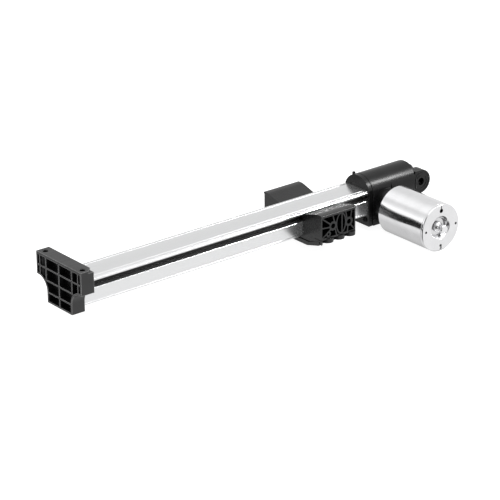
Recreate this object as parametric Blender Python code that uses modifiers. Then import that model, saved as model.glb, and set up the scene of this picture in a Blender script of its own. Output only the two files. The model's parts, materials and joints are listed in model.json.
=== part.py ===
"""Linear rail actuator for reclining furniture.

Row frame: origin at the centre of the front bracket's top mounting face, +X along the rail to the rear
fork, +Y away from the motor, +Z up. Every length below is in millimetres and is scaled to metres when a
mesh is made.
"""
import math

import bmesh
import bpy
from mathutils import Matrix, Vector

MM = 0.001
WELD = 0.00001
GAP = 0.3

# heights and axes
RAIL_Z = -30.8
SCREW_Z = RAIL_Z + 5.9
MOTOR_X = 388.5
MOTOR_Z = RAIL_Z - 7.6

# front bracket
BRACKET_HALF = 36.3
BRACKET_BACK = 7.4
BRACKET_EAR_Z = -23.3
BRACKET_LOW_HALF = 20.0
BRACKET_LOW_Z = -48.0
BRACKET_FILLET = 14.0
BRACKET_HOLE_Y = 30.0
BRACKET_HOLE_X = -1.0
BRACKET_HOLE_R = 2.75
BRACKET_BOSS_R = 4.7
BRACKET_STEP = 2.3
POCKET_FLOOR_X = -0.4
SOCKET_X = 1.5

# rail
RAIL_HALF = 16.8
RAIL_TOP = RAIL_Z + 13.1
RAIL_BOTTOM = RAIL_Z - 13.1
GROOVE_TOP = RAIL_Z + 9.1
GROOVE_FLOOR = RAIL_Z + 2.3
NECK_OUTER = 8.9
NECK_INNER = 7.4
SLOT_HALF = 9.0
RAIL_WALL = 1.5
RAIL_START = 1.8
RAIL_END = 372.0

# slider
SLIDER_FRONT = 278.0
SLIDER_REAR = 323.3
SLIDER_HALF = 45.3
SLIDER_TOP = RAIL_Z + 16.2
SLIDER_BOTTOM = RAIL_Z - 20.5
SLIDER_RIB = 1.4
SLIDER_LIP = 1.2
LOBE_R = 6.4
LOBE_PITCH = 14.4
LOBE_Y = 40.2
RUN_GAP = 0.5

# screw and gears
SCREW_PITCH = 8.0
SCREW_CREST_R = 4.0
SCREW_ROOT_R = 3.1
NUT_GAP = 0.35
WHEEL_TEETH = 20
MODULE = 0.95
WORM_PITCH_R = 4.0
TOOTH = 1.14
WHEEL_WIDTH = 9.2
WHEEL_HUB_R = 6.4
ADDENDUM = 0.85
DEDENDUM = 1.15
FLANK = math.tan(math.radians(20.0))

# gearbox, fork and motor
HOUSING_FRONT = 364.3
COLLAR_BACK = 369.0
BARREL_R = 19.9
BARREL_END = 431.1
BLOCK_HALF = 19.4
BLOCK_BOTTOM = RAIL_Z - 25.7
FORK_X = 436.5
FORK_R = 12.6
FORK_FACE = 17.8
FORK_GAP = 6.8
FORK_HOLE_R = 4.1
NECK_R = 19.0
CAN_R = 25.0
CAN_START = -32.4
CAN_END = -100.0

FORK_START = 428.5
EDGE_ROUND = 3.0
CAN_WALL = 1.4
SHAFT_R = 2.3
BUSH_R = 5.9
TUNNEL_R = 6.2
SHAFT_BORE_R = 2.6
WHEEL_BORE_R = 3.8
ARMATURE_R = 18.4
MAGNET_R = 23.2
MAGNET_WALL = 4.0

# screws
NUT_SCREWS = (292.0, 309.0)
PILOT_R = 1.3
THIN_SHANK_R = 1.0
COLLAR_HOLE_R = 1.7
COVER_HOLE_R = 1.5
COLLAR_SCREWS = ((-12.5, RAIL_Z - 19.4), (12.5, RAIL_Z - 19.4))
COVER_SCREWS = ((MOTOR_X - 8.2, MOTOR_Z - 8.2), (MOTOR_X + 8.2, MOTOR_Z - 8.2),
                (MOTOR_X - 8.2, MOTOR_Z + 4.0), (MOTOR_X + 8.2, MOTOR_Z + 4.0))

part = bpy.data.collections.new("linear_actuator")
tools = bpy.data.collections.new("cutters")


def start():
    """Empty the scene and link the two collections."""
    for item in list(bpy.data.objects):
        bpy.data.objects.remove(item, do_unlink=True)
    bpy.context.scene.collection.children.link(part)
    bpy.context.scene.collection.children.link(tools)


def material(name, rgb, rough, metal=0.0):
    """A Principled material, made once for each name."""
    if name in bpy.data.materials:
        return bpy.data.materials[name]
    made = bpy.data.materials.new(name)
    made.use_nodes = True
    shader = made.node_tree.nodes["Principled BSDF"]
    shader.inputs["Base Color"].default_value = (*rgb, 1.0)
    shader.inputs["Roughness"].default_value = rough
    shader.inputs["Metallic"].default_value = metal
    return made


def turn_to(axis):
    """The rotation that lays local x and y in a section and local z along the named axis."""
    if axis == "X":
        return Matrix(((0, 0, 1), (1, 0, 0), (0, 1, 0)))
    if axis == "Y":
        return Matrix(((1, 0, 0), (0, 0, -1), (0, 1, 0)))
    return Matrix.Identity(3)


def along_sign(axis):
    """Local z runs against the Y axis, and with the other two."""
    return -1 if axis == "Y" else 1


def stand(item, axis, across, up, along):
    """Put an object's origin at a section point, with its local z on the axis."""
    local = Vector((across, up, along_sign(axis) * along)) * MM
    item.matrix_world = Matrix.Translation(turn_to(axis) @ local) @ turn_to(axis).to_4x4()
    return item


def mesh_object(bm, name="piece"):
    """Put a bmesh into a new object."""
    bmesh.ops.recalc_face_normals(bm, faces=bm.faces)
    mesh = bpy.data.meshes.new(name)
    bm.to_mesh(mesh)
    bm.free()
    return bpy.data.objects.new(name, mesh)


def node(name, item, skin):
    """A finished sub-part with its name and material."""
    item.name = name
    item.data.name = name
    item.data.materials.append(skin)
    part.objects.link(item)
    return item


def tool(name, item):
    """A hidden solid that shapes a sub-part."""
    item.name = "tool_" + name
    item.hide_render = True
    item.display_type = "WIRE"
    tools.objects.link(item)
    return item


def shape(item, other, operation):
    """Join or cut an object with another, exactly."""
    step = item.modifiers.new(other.name, "BOOLEAN")
    step.operation = operation
    step.solver = "EXACT"
    step.object = other


def cut(item, other):
    shape(item, other, "DIFFERENCE")


def join(item, other):
    shape(item, other, "UNION")


def prism(outline, axis, low, high):
    """A flat outline of (across, up) points as a filled 2D curve, given its thickness along an axis."""
    curve = bpy.data.curves.new("outline", "CURVE")
    curve.dimensions = "2D"
    curve.fill_mode = "BOTH"
    curve.extrude = (high - low) / 2 * MM
    spline = curve.splines.new("POLY")
    spline.points.add(len(outline) - 1)
    for point, (across, up) in zip(spline.points, outline):
        point.co = (across * MM, up * MM, 0.0, 1.0)
    spline.use_cyclic_u = True
    drawn = bpy.data.objects.new("outline", curve)
    bpy.context.scene.collection.objects.link(drawn)
    stand(drawn, axis, 0.0, 0.0, (low + high) / 2)
    view = bpy.context.evaluated_depsgraph_get()
    mesh = bpy.data.meshes.new_from_object(drawn.evaluated_get(view))
    bm = bmesh.new()
    bm.from_mesh(mesh)
    bmesh.ops.remove_doubles(bm, verts=bm.verts, dist=WELD)
    bmesh.ops.dissolve_limit(bm, angle_limit=math.radians(0.5), verts=bm.verts, edges=bm.edges)
    item = mesh_object(bm)
    item.matrix_world = drawn.matrix_world
    bpy.data.meshes.remove(mesh)
    bpy.data.objects.remove(drawn, do_unlink=True)
    return item


def box(low, high):
    """A block between two corners, its origin at its centre."""
    low = Vector(low) * MM
    high = Vector(high) * MM
    bm = bmesh.new()
    bmesh.ops.create_cube(bm, size=1.0)
    bmesh.ops.scale(bm, vec=high - low, verts=bm.verts)
    item = mesh_object(bm)
    item.location = (low + high) / 2
    return item


def turned(profile, axis, centre, steps):
    """Turn (along, radius) points about an axis: a closed outline, or one that meets the axis."""
    sign = along_sign(axis)
    points = [(radius, sign * along) for along, radius in profile]
    area = sum(a[0] * b[1] - b[0] * a[1] for a, b in zip(points, points[1:] + points[:1]))
    if area > 0:
        points.reverse()
    closed = min(radius for radius, _ in points) > 0
    bm = bmesh.new()
    verts = [bm.verts.new((radius * MM, 0.0, up * MM)) for radius, up in points]
    pairs = list(zip(verts, verts[1:]))
    if closed:
        pairs.append((verts[-1], verts[0]))
    for pair in pairs:
        bm.edges.new(pair)
    item = mesh_object(bm)
    spin = item.modifiers.new("turn", "SCREW")
    spin.steps = steps
    spin.render_steps = steps
    spin.use_merge_vertices = True
    spin.merge_threshold = WELD
    spin.use_smooth_shade = True
    return stand(item, axis, centre[0], centre[1], 0.0)


def rod(radius, axis, centre, low, high, steps):
    """A plain round bar or a drill's path."""
    return turned([(low, 0.0), (low, radius), (high, radius), (high, 0.0)], axis, centre, steps)


def arc(centre, radius, start_deg, end_deg, steps):
    """Points on an arc, ends included."""
    points = []
    for i in range(steps + 1):
        angle = math.radians(start_deg + (end_deg - start_deg) * i / steps)
        points.append((centre[0] + radius * math.cos(angle), centre[1] + radius * math.sin(angle)))
    return points


def circle(centre, radius, steps):
    return arc(centre, radius, 0.0, 360.0, steps)[:-1]


def thread(axis, centre, root, crest, pitch, tip, base, low, high, steps, phase=0.0):
    """A right-handed threaded rod. tip and base are the ridge's widths at its crest and at its foot.

    The helical band is a grid of quads, because no modifier closes a thread's ends: it is made longer
    than the rod, cut square at both ends and capped there.
    """
    sign = along_sign(axis)
    bm = bmesh.new()
    stations = ((-base / 2, root), (-tip / 2, crest), (tip / 2, crest), (base / 2, root))
    first = math.floor((low - phase) / pitch) - 2
    last = math.ceil((high - phase) / pitch) + 2
    rows = []
    for turn in range(first, last):
        for offset, radius in stations:
            row = []
            for i in range(steps):
                angle = 2 * math.pi * i / steps
                if axis == "Y":
                    across, up = radius * math.sin(angle), radius * math.cos(angle)
                else:
                    across, up = radius * math.cos(angle), radius * math.sin(angle)
                along = phase + pitch * (turn + i / steps) + offset
                row.append(bm.verts.new((across * MM, up * MM, sign * along * MM)))
            rows.append(row)
    for k in range(len(rows) - 1):
        for i in range(steps - 1):
            bm.faces.new((rows[k][i], rows[k][i + 1], rows[k + 1][i + 1], rows[k + 1][i]))
        if k + 5 < len(rows):
            bm.faces.new((rows[k + 4][0], rows[k + 5][0], rows[k + 1][-1], rows[k][-1]))
    for along, outward in ((low, -1), (high, 1)):
        everything = list(bm.verts) + list(bm.edges) + list(bm.faces)
        bmesh.ops.bisect_plane(bm, geom=everything, dist=1e-8, plane_co=(0, 0, sign * along * MM),
                               plane_no=(0, 0, sign * outward), clear_outer=True)
    bmesh.ops.holes_fill(bm, edges=[e for e in bm.edges if e.is_boundary])
    return stand(mesh_object(bm), axis, centre[0], centre[1], 0.0)


def rail_outline():
    """The aluminium section: top plate, grooved sides and a box that is open below."""
    right = [
        (0.0, RAIL_TOP), (RAIL_HALF - 0.6, RAIL_TOP), (RAIL_HALF, RAIL_TOP - 0.6),
        (RAIL_HALF, GROOVE_TOP), (NECK_OUTER, GROOVE_TOP), (NECK_OUTER, GROOVE_FLOOR),
        (RAIL_HALF, GROOVE_FLOOR), (RAIL_HALF, RAIL_BOTTOM + 0.6), (RAIL_HALF - 0.6, RAIL_BOTTOM),
        (SLOT_HALF, RAIL_BOTTOM), (SLOT_HALF, RAIL_BOTTOM + RAIL_WALL),
        (RAIL_HALF - RAIL_WALL, RAIL_BOTTOM + RAIL_WALL),
        (RAIL_HALF - RAIL_WALL, GROOVE_FLOOR - RAIL_WALL),
        (NECK_INNER, GROOVE_FLOOR - RAIL_WALL), (NECK_INNER, RAIL_TOP - RAIL_WALL)]
    left = [(-a, b) for a, b in reversed(right[1:])]
    return right + left


def rail_envelope(grow):
    """The rail's outer rectangle, grown all round."""
    half = RAIL_HALF + grow
    low = RAIL_BOTTOM - grow
    high = RAIL_TOP + grow
    return [(half, low), (half, high), (-half, high), (-half, low)]


def make_rail():
    skin = material("rail_aluminium", (0.83, 0.84, 0.85), 0.3, 1.0)
    node("rail", prism(rail_outline(), "X", RAIL_START, RAIL_END), skin)


def make_glide_strips():
    """Low-friction liners on the back wall and under the lip of each groove."""
    skin = material("glide_polymer", (0.02, 0.02, 0.022), 0.45)
    top = GROOVE_TOP - 0.05
    low = GROOVE_FLOOR + 0.3
    inner = NECK_OUTER + 0.05
    outline = [(inner, low), (inner + 0.9, low), (inner + 0.9, top - 0.8),
               (RAIL_HALF - 1.2, top - 0.8), (RAIL_HALF - 1.2, top), (inner, top)]
    for name, side in (("glide_strip_left", 1), ("glide_strip_right", -1)):
        points = [(side * a, b) for a, b in outline]
        node(name, prism(points, "X", BRACKET_BACK + 1.0, HOUSING_FRONT - 1.0), skin)


def bracket_outline(inset=0.0):
    """The T shape with concave quarter rounds under its ears."""
    half = BRACKET_HALF - inset
    low_half = BRACKET_LOW_HALF - inset
    ear = BRACKET_EAR_Z + inset
    radius = BRACKET_FILLET + inset
    centre = (BRACKET_LOW_HALF + BRACKET_FILLET, BRACKET_EAR_Z - BRACKET_FILLET)
    right = [(half, -1.6 * inset), (half, ear + 0.4)]
    right += arc(centre, radius, 90.0, 180.0, 8)
    right += [(low_half, BRACKET_LOW_Z + inset)]
    left = [(-a, b) for a, b in reversed(right)]
    return right + left


def make_bracket():
    """Waffle-ribbed front bracket with a rail socket behind and a screw hole in each ear."""
    skin = material("bracket_plastic", (0.035, 0.035, 0.037), 0.5)
    front = -BRACKET_BACK
    item = node("front_bracket", prism(bracket_outline(), "X", front, BRACKET_BACK), skin)
    pocket = tool("bracket_pocket", prism(bracket_outline(1.8), "X", front - 1.0, POCKET_FLOOR_X))
    ribs = [(0.0, 0.9, -50.0, 0.0), (21.0, 0.9, -26.5, 0.0), (-21.0, 0.9, -26.5, 0.0)]
    for i, (y, half, low, high) in enumerate(ribs):
        rib = tool(f"bracket_rib_{i}", box((front - 2.0, y - half, low), (1.0, y + half, high)))
        cut(pocket, rib)
    for i, (z, half) in enumerate(((-13.2, 40.0), (-25.6, 22.5), (-37.4, 40.0))):
        rib = tool(f"bracket_shelf_{i}", box((front - 2.0, -half, z - 0.8), (1.0, half, z + 0.8)))
        cut(pocket, rib)
    for side in (-1, 1):
        boss = rod(BRACKET_BOSS_R, "Z", (BRACKET_HOLE_X, side * BRACKET_HOLE_Y), -30.0, 5.0, 20)
        cut(pocket, tool(f"bracket_boss_{side + 1}", boss))
    cut(item, pocket)
    cut(item, tool("bracket_socket", prism(rail_envelope(GAP), "X", SOCKET_X, BRACKET_BACK + 1.0)))
    for side in (-1, 1):
        hole = rod(BRACKET_HOLE_R, "Z", (BRACKET_HOLE_X, side * BRACKET_HOLE_Y), -30.0, 5.0, 20)
        cut(item, tool(f"bracket_hole_{side + 1}", hole))
    rim = arc((BRACKET_HOLE_X, BRACKET_HOLE_Y), 6.4, 0.0, 68.0, 6)
    step = rim + [(rim[-1][0], 40.0), (12.0, 40.0), (12.0, BRACKET_HOLE_Y)]
    step = [(a, -b) for a, b in step]
    cut(item, tool("bracket_step", prism(step, "Z", -BRACKET_STEP, 3.0)))


def wing_outline(side):
    """One wing of the slider's section with its tongue in the rail's groove, and half of the base."""
    clear = RAIL_HALF + RUN_GAP
    points = [
        (0.0, SLIDER_BOTTOM), (24.4, SLIDER_BOTTOM), (38.6, RAIL_Z - 16.6), (40.2, RAIL_Z - 15.4),
        (40.2, RAIL_Z - 10.9), (44.3, RAIL_Z - 10.7), (44.3, RAIL_Z + 14.0), (SLIDER_HALF, RAIL_Z + 14.3), (SLIDER_HALF, RAIL_Z + 15.3),
        (44.4, SLIDER_TOP), (38.0, SLIDER_TOP), (18.3, RAIL_Z + 10.6), (clear, RAIL_Z + 10.2),
        (clear, RAIL_Z + 7.7), (10.4, RAIL_Z + 7.7), (10.4, GROOVE_FLOOR + RUN_GAP),
        (clear, GROOVE_FLOOR + RUN_GAP), (clear, RAIL_BOTTOM - RUN_GAP), (0.0, RAIL_BOTTOM - RUN_GAP)]
    return [(side * a, b) for a, b in points]


def slider_section():
    right = wing_outline(1)
    left = wing_outline(-1)
    return right + list(reversed(left))[1:-1]


def bar(start_point, end_point, width):
    """A rib's outline between two points."""
    a = Vector(start_point)
    b = Vector(end_point)
    across = (b - a).normalized()
    across = Vector((-across.y, across.x)) * width / 2
    return [tuple(a + across), tuple(a - across), tuple(b - across), tuple(b + across)]


def slider_ribs():
    """The lattice in each side recess, in X from the slider's front and Z from the rail's centre."""
    solid = [circle((15.9, 2.0), 4.9, 16), circle((36.7, 1.6), 4.9, 16), circle((10.0, -5.4), 2.9, 12)]
    lines = (
        ((0.0, 14.0), (12.6, 4.4)), ((0.0, 2.6), (11.6, 1.6)), ((0.0, -9.6), (12.6, -1.2)),
        ((27.6, -10.0), (27.6, 15.0)), ((17.6, 6.0), (15.2, 15.0)), ((34.0, 5.4), (32.0, 15.0)),
        ((39.0, 5.4), (40.6, 15.0)), ((38.8, -2.2), (45.0, -9.4)), ((35.4, -2.6), (34.4, -10.0)),
        ((18.6, -2.0), (21.0, -10.0)))
    return solid + [bar(a, b, SLIDER_RIB) for a, b in lines]


def oval(half_width, half_height, steps):
    points = []
    for i in range(steps):
        angle = 2 * math.pi * i / steps
        points.append((26.4 + half_width * math.cos(angle), 2.5 + half_height * math.sin(angle)))
    return points


def shifted(points):
    return [(SLIDER_FRONT + a, RAIL_Z + b) for a, b in points]


def make_slider():
    """Carriage that wraps the rail, with a ribbed recess in each wing and a scalloped lower flange."""
    skin = material("slider_plastic", (0.04, 0.04, 0.042), 0.48)
    item = node("slider_block", prism(slider_section(), "X", SLIDER_FRONT, SLIDER_REAR), skin)
    base = [(0.0, SLIDER_BOTTOM), (24.4, SLIDER_BOTTOM), (42.8, RAIL_Z - 15.5), (42.8, RAIL_Z - 11.6),
            (26.0, RAIL_Z - 16.4), (0.0, RAIL_Z - 16.4)]
    lip = base + [(-a, b) for a, b in reversed(base[1:-1])]
    join(item, tool("slider_lip", prism(lip, "X", SLIDER_FRONT - SLIDER_LIP, SLIDER_FRONT + 2.0)))
    for side in (-1, 1):
        for i in range(4):
            centre = (SLIDER_FRONT - 2.6 + LOBE_PITCH * i, side * LOBE_Y)
            lobe = tool(f"slider_lobe_{side + 1}_{i}",
                        prism(circle(centre, LOBE_R, 20), "Z", RAIL_Z - 14.4, RAIL_Z - 10.2))
            keep = tool(f"slider_keep_{side + 1}_{i}",
                        box((SLIDER_FRONT - 20.0, -60.0, -60.0), (SLIDER_FRONT - 0.6, 60.0, 0.0)))
            if i == 0:
                cut(lobe, keep)
            join(item, lobe)
        near, far = side * 34.0, side * 50.0
        low, high = min(near, far), max(near, far)
        recess = box((SLIDER_FRONT + 1.6, low, RAIL_Z - 8.6), (SLIDER_REAR - 1.6, high, RAIL_Z + 12.9))
        recess = tool(f"slider_recess_{side + 1}", recess)
        for i, points in enumerate(slider_ribs()):
            rib = tool(f"slider_rib_{side + 1}_{i}", prism(shifted(points), "Y", -60.0, 60.0))
            cut(recess, rib)
        ring = tool(f"slider_ring_{side + 1}", prism(shifted(oval(6.6, 11.2, 20)), "Y", -60.0, 60.0))
        inside = tool(f"slider_inside_{side + 1}", prism(shifted(oval(5.2, 9.8, 20)), "Y", -61.0, 61.0))
        cut(ring, inside)
        cut(recess, ring)
        cut(item, recess)
        for i, (x, z, radius) in enumerate(((15.9, 2.0, 2.7), (36.7, 1.6, 2.7), (10.0, -5.4, 1.3))):
            ends = sorted((side * 36.0, side * 50.0))
            bore = rod(radius, "Y", (SLIDER_FRONT + x, RAIL_Z + z), ends[0], ends[1], 12)
            cut(item, tool(f"slider_bore_{side + 1}_{i}", bore))
    foot = box((285.2, -8.8, SLIDER_BOTTOM + 3.6), (315.8, 8.8, RAIL_Z))
    cut(item, tool("slider_foot_pocket", foot))
    for i, x in enumerate(NUT_SCREWS):
        hole = [(-60.0, 0.0), (-60.0, 3.6), (SLIDER_BOTTOM + 1.8, 3.6), (SLIDER_BOTTOM + 1.8, 1.9),
                (-40.0, 1.9), (-40.0, 0.0)]
        cut(item, tool(f"slider_screw_hole_{i}", turned(hole, "Z", (x, 0.0), 16)))


def make_nut():
    """Nut with an internal thread, a carriage inside the rail and a foot in the slider's base."""
    skin = material("nut_polymer", (0.78, 0.76, 0.7), 0.45)
    right = [(0.0, RAIL_TOP - 1.8), (7.0, RAIL_TOP - 1.8), (7.0, RAIL_Z + 0.5), (11.6, RAIL_Z + 0.3),
             (11.6, RAIL_BOTTOM + 1.9), (8.5, RAIL_BOTTOM + 2.3), (8.5, SLIDER_BOTTOM + 3.9),
             (0.0, SLIDER_BOTTOM + 3.9)]
    outline = right + [(-a, b) for a, b in reversed(right[1:-1])]
    item = node("drive_nut", prism(outline, "X", 285.5, 315.5), skin)
    grown = thread("X", (0.0, SCREW_Z), SCREW_ROOT_R + NUT_GAP, SCREW_CREST_R + NUT_GAP, SCREW_PITCH,
                   2.6 + 2 * NUT_GAP, 5.4 + 2 * NUT_GAP, 284.0, 317.0, 12)
    cut(item, tool("nut_thread", grown))
    for i, x in enumerate(NUT_SCREWS):
        hole = rod(1.7, "Z", (x, 0.0), -60.0, RAIL_Z - 6.0, 12)
        cut(item, tool(f"nut_screw_hole_{i}", hole))


def make_nut_screws():
    skin = material("screw_zinc", (0.62, 0.63, 0.65), 0.32, 1.0)
    for i, x in enumerate(NUT_SCREWS):
        head = SLIDER_BOTTOM + 1.5
        profile = [(head - 1.3, 0.0), (head - 1.3, 2.6), (head - 0.7, 3.2), (head, 3.2), (head, 1.4),
                   (RAIL_Z - 6.4, 1.4), (RAIL_Z - 6.4, 0.0)]
        item = node(f"nut_screw_{i + 1}", turned(profile, "Z", (x, 0.0), 16), skin)
        slot = box((x - 4.0, -0.4, head - 2.0), (x + 4.0, 0.4, head - 0.7))
        cut(item, tool(f"nut_screw_slot_{i}", slot))


def make_lead_screw():
    skin = material("screw_steel", (0.55, 0.56, 0.58), 0.28, 1.0)
    centre = (0.0, SCREW_Z)
    rolled = thread("X", centre, SCREW_ROOT_R, SCREW_CREST_R, SCREW_PITCH, 2.6, 5.4, 12.0, 362.0, 12)
    item = node("lead_screw", rolled, skin)
    front = rod(2.5, "X", centre, 3.2, 14.0, 16)
    join(item, tool("screw_front", front))
    rear = [(360.0, 0.0), (360.0, 3.0), (364.0, 3.0), (364.0, 3.5), (404.5, 3.5), (405.0, 3.0),
            (405.0, 0.0)]
    join(item, tool("screw_rear", turned(rear, "X", centre, 16)))


def make_front_bush():
    """Bronze bush in the rail's neck that carries the screw's front end."""
    skin = material("bush_bronze", (0.6, 0.42, 0.22), 0.35, 1.0)
    item = node("front_bush", box((2.4, -7.1, RAIL_Z + 1.1), (10.4, 7.1, RAIL_TOP - 1.8)), skin)
    bore = rod(SHAFT_BORE_R, "X", (0.0, SCREW_Z), 0.0, 12.0, 20)
    cut(item, tool("front_bush_bore", bore))


def make_limit_switches():
    """Contact strip on the rail's inner wall with a switch near each end of the travel."""
    board = material("board_green", (0.03, 0.16, 0.07), 0.45)
    node("switch_strip", box((14.0, 13.7, RAIL_Z - 10.6), (360.0, 15.0, RAIL_Z - 1.6)), board)
    black = material("switch_black", (0.03, 0.03, 0.03), 0.5)
    for name, x in (("limit_switch_front", 22.0), ("limit_switch_rear", 343.5)):
        node(name, box((x, 12.1, RAIL_Z - 9.6), (x + 12.0, 13.4, RAIL_Z - 2.6)), black)


def collar_outline(radius, half, bottom, steps=24):
    points = arc((0.0, SCREW_Z), radius, 0.0, 180.0, steps)
    points = [(max(-half, min(half, a)), b) for a, b in points]
    return points + [(-half, bottom), (half, bottom)]


def make_front_collar():
    """Arch-shaped end plate round the rail, with a rounded front edge and a moulded nub on top."""
    skin = material("gearbox_plastic", (0.03, 0.03, 0.032), 0.42)
    outline = collar_outline(19.7, 18.6, BLOCK_BOTTOM)
    item = node("front_collar", prism(outline, "X", HOUSING_FRONT, COLLAR_BACK), skin)
    rim = item.modifiers.new("rim", "BEVEL")
    rim.width = 0.9 * MM
    rim.segments = 2
    rim.limit_method = "ANGLE"
    rim.angle_limit = math.radians(60.0)
    nub = box((HOUSING_FRONT + 0.2, 5.6, SCREW_Z + 16.0), (HOUSING_FRONT + 2.6, 8.4, SCREW_Z + 21.4))
    join(item, tool("collar_nub", nub))
    cut(item, tool("collar_window", prism(rail_envelope(GAP), "X", 360.0, 372.0)))
    for i, (y, z) in enumerate(COLLAR_SCREWS):
        hole = rod(COLLAR_HOLE_R, "X", (y, z), 360.0, 375.0, 12)
        cut(item, tool(f"collar_hole_{i}", hole))


def make_gear_housing():
    """Barrel, worm block, motor neck and rear fork in one moulding, bored for the gear train."""
    skin = material("gearbox_plastic", (0.03, 0.03, 0.032), 0.42)
    back = COLLAR_BACK + GAP
    axis = (0.0, SCREW_Z)
    barrel = [(back, 0.0), (back, BARREL_R - 0.5), (back + 0.6, BARREL_R)]
    barrel += [(BARREL_END - EDGE_ROUND * (1 - math.sin(t)), BARREL_R - EDGE_ROUND * (1 - math.cos(t)))
               for t in (0.0, math.pi / 6, math.pi / 3, math.pi / 2)]
    barrel += [(BARREL_END, 0.0)]
    item = node("gear_housing", turned(barrel, "X", axis, 48), skin)
    rear = MOTOR_X + 22.0
    outline = [(back, SCREW_Z), (back, BLOCK_BOTTOM + 0.6), (back + 0.6, BLOCK_BOTTOM)]
    outline += arc((rear - 14.0, BLOCK_BOTTOM + 14.0), 14.0, 270.0, 360.0, 6)
    outline += [(rear, SCREW_Z)]
    join(item, tool("block", prism(outline, "Y", -BLOCK_HALF, BLOCK_HALF)))
    motor = (MOTOR_X, MOTOR_Z)
    join(item, tool("motor_neck", rod(NECK_R, "Y", motor, CAN_START + GAP, -11.0, 48)))
    ear = [(FORK_START, SCREW_Z - FORK_R), (FORK_X, SCREW_Z - FORK_R)]
    ear += arc((FORK_X, SCREW_Z), FORK_R, -90.0, 90.0, 18)[1:-1]
    ear += [(FORK_X, SCREW_Z + FORK_R), (FORK_START, SCREW_Z + FORK_R)]
    join(item, tool("fork", prism(ear, "Y", -FORK_FACE, FORK_FACE)))
    slot = box((425.0, -FORK_GAP, SCREW_Z - 13.6), (460.0, FORK_GAP, SCREW_Z + 13.6))
    cut(item, tool("fork_slot", slot))
    cut(item, tool("fork_hole", rod(FORK_HOLE_R, "Y", (FORK_X, SCREW_Z), -30.0, 30.0, 24)))
    for side in (-1, 1):
        for low, high in ((6.6, 7.6), (9.6, 10.6)):
            face = side * (FORK_FACE - 0.6)
            out = side * (FORK_FACE + 2.0)
            groove = [(min(face, out), low), (min(face, out), high), (max(face, out), high),
                      (max(face, out), low)]
            cut(item, tool(f"fork_ring_{side + 1}_{int(low)}",
                           turned(groove, "Y", (FORK_X, SCREW_Z), 24)))
    cut(item, tool("rail_pocket", prism(rail_envelope(GAP), "X", 360.0, RAIL_END + 0.5)))
    bore = [(360.0, 0.0), (360.0, 11.5), (396.0, 11.5), (396.0, 8.3), (404.0, 8.3), (404.0, 4.2),
            (407.5, 4.2), (407.5, 0.0)]
    cut(item, tool("gear_bore", turned(bore, "X", axis, 32)))
    seam = box((394.0, -30.0, SCREW_Z - 4.0), (395.0, -18.6, SCREW_Z + 9.0))
    cut(item, tool("seam", seam))
    for i, (y, z) in enumerate(COLLAR_SCREWS):
        cut(item, tool(f"housing_hole_{i}", rod(PILOT_R, "X", (y, z), 360.0, 380.0, 12)))
    for i, (x, z) in enumerate(COVER_SCREWS):
        cut(item, tool(f"cover_hole_{i}", rod(PILOT_R, "Y", (x, z), 12.0, 30.0, 12)))
    cut(item, tool("worm_tunnel", rod(TUNNEL_R, "Y", motor, CAN_START - 3.0, 15.5, 40)))


def make_collar_screws():
    skin = material("screw_black", (0.06, 0.06, 0.062), 0.4, 1.0)
    for i, (y, z) in enumerate(COLLAR_SCREWS):
        face = HOUSING_FRONT - GAP
        profile = [(face - 1.6, 0.0), (face - 1.6, 2.2), (face - 1.0, 2.8), (face, 2.8),
                   (face, THIN_SHANK_R), (379.0, THIN_SHANK_R), (379.0, 0.0)]
        node(f"collar_screw_{i + 1}", turned(profile, "X", (y, z), 12), skin)


def make_worm_cover():
    """Round-cornered cover over the blind end of the worm's tunnel, with four screws."""
    skin = material("cover_plastic", (0.045, 0.045, 0.047), 0.5)
    low, high = BLOCK_HALF + GAP, BLOCK_HALF + 2.8
    outline = []
    for x, z, start_deg in ((8.5, 4.2, 0.0), (-8.5, 4.2, 90.0), (-8.5, -8.5, 180.0), (8.5, -8.5, 270.0)):
        outline += arc((MOTOR_X + x, MOTOR_Z + z), 4.4, start_deg, start_deg + 90.0, 4)
    item = node("worm_cover", prism(outline, "Y", low, high), skin)
    screw = material("screw_zinc", (0.62, 0.63, 0.65), 0.32, 1.0)
    for i, (x, z) in enumerate(COVER_SCREWS):
        cut(item, tool(f"worm_cover_hole_{i}", rod(COVER_HOLE_R, "Y", (x, z), 10.0, 30.0, 12)))
        face = high + GAP
        profile = [(14.0, 0.0), (14.0, THIN_SHANK_R), (face, THIN_SHANK_R), (face, 2.4), (face + 0.8, 2.4),
                   (face + 1.4, 1.8), (face + 1.4, 0.0)]
        node(f"cover_screw_{i + 1}", turned(profile, "Y", (x, z), 12), screw)


def make_bearings():
    skin = material("bearing_steel", (0.7, 0.7, 0.72), 0.25, 1.0)
    axis = (0.0, SCREW_Z)
    rings = (("bearing_front", 373.0, 380.0, 11.2), ("bearing_rear", 397.0, 403.6, 8.0))
    for name, low, high, outer in rings:
        ring = [(low, 3.8), (low, outer - 0.4), (low + 0.4, outer), (high - 0.4, outer),
                (high, outer - 0.4), (high, 3.8)]
        node(name, turned(ring, "X", axis, 28), skin)


def gear_point(radius, half_width, angle, sign):
    turn = angle + sign * half_width / radius
    return (radius * math.sin(turn), -radius * math.cos(turn))


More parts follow.
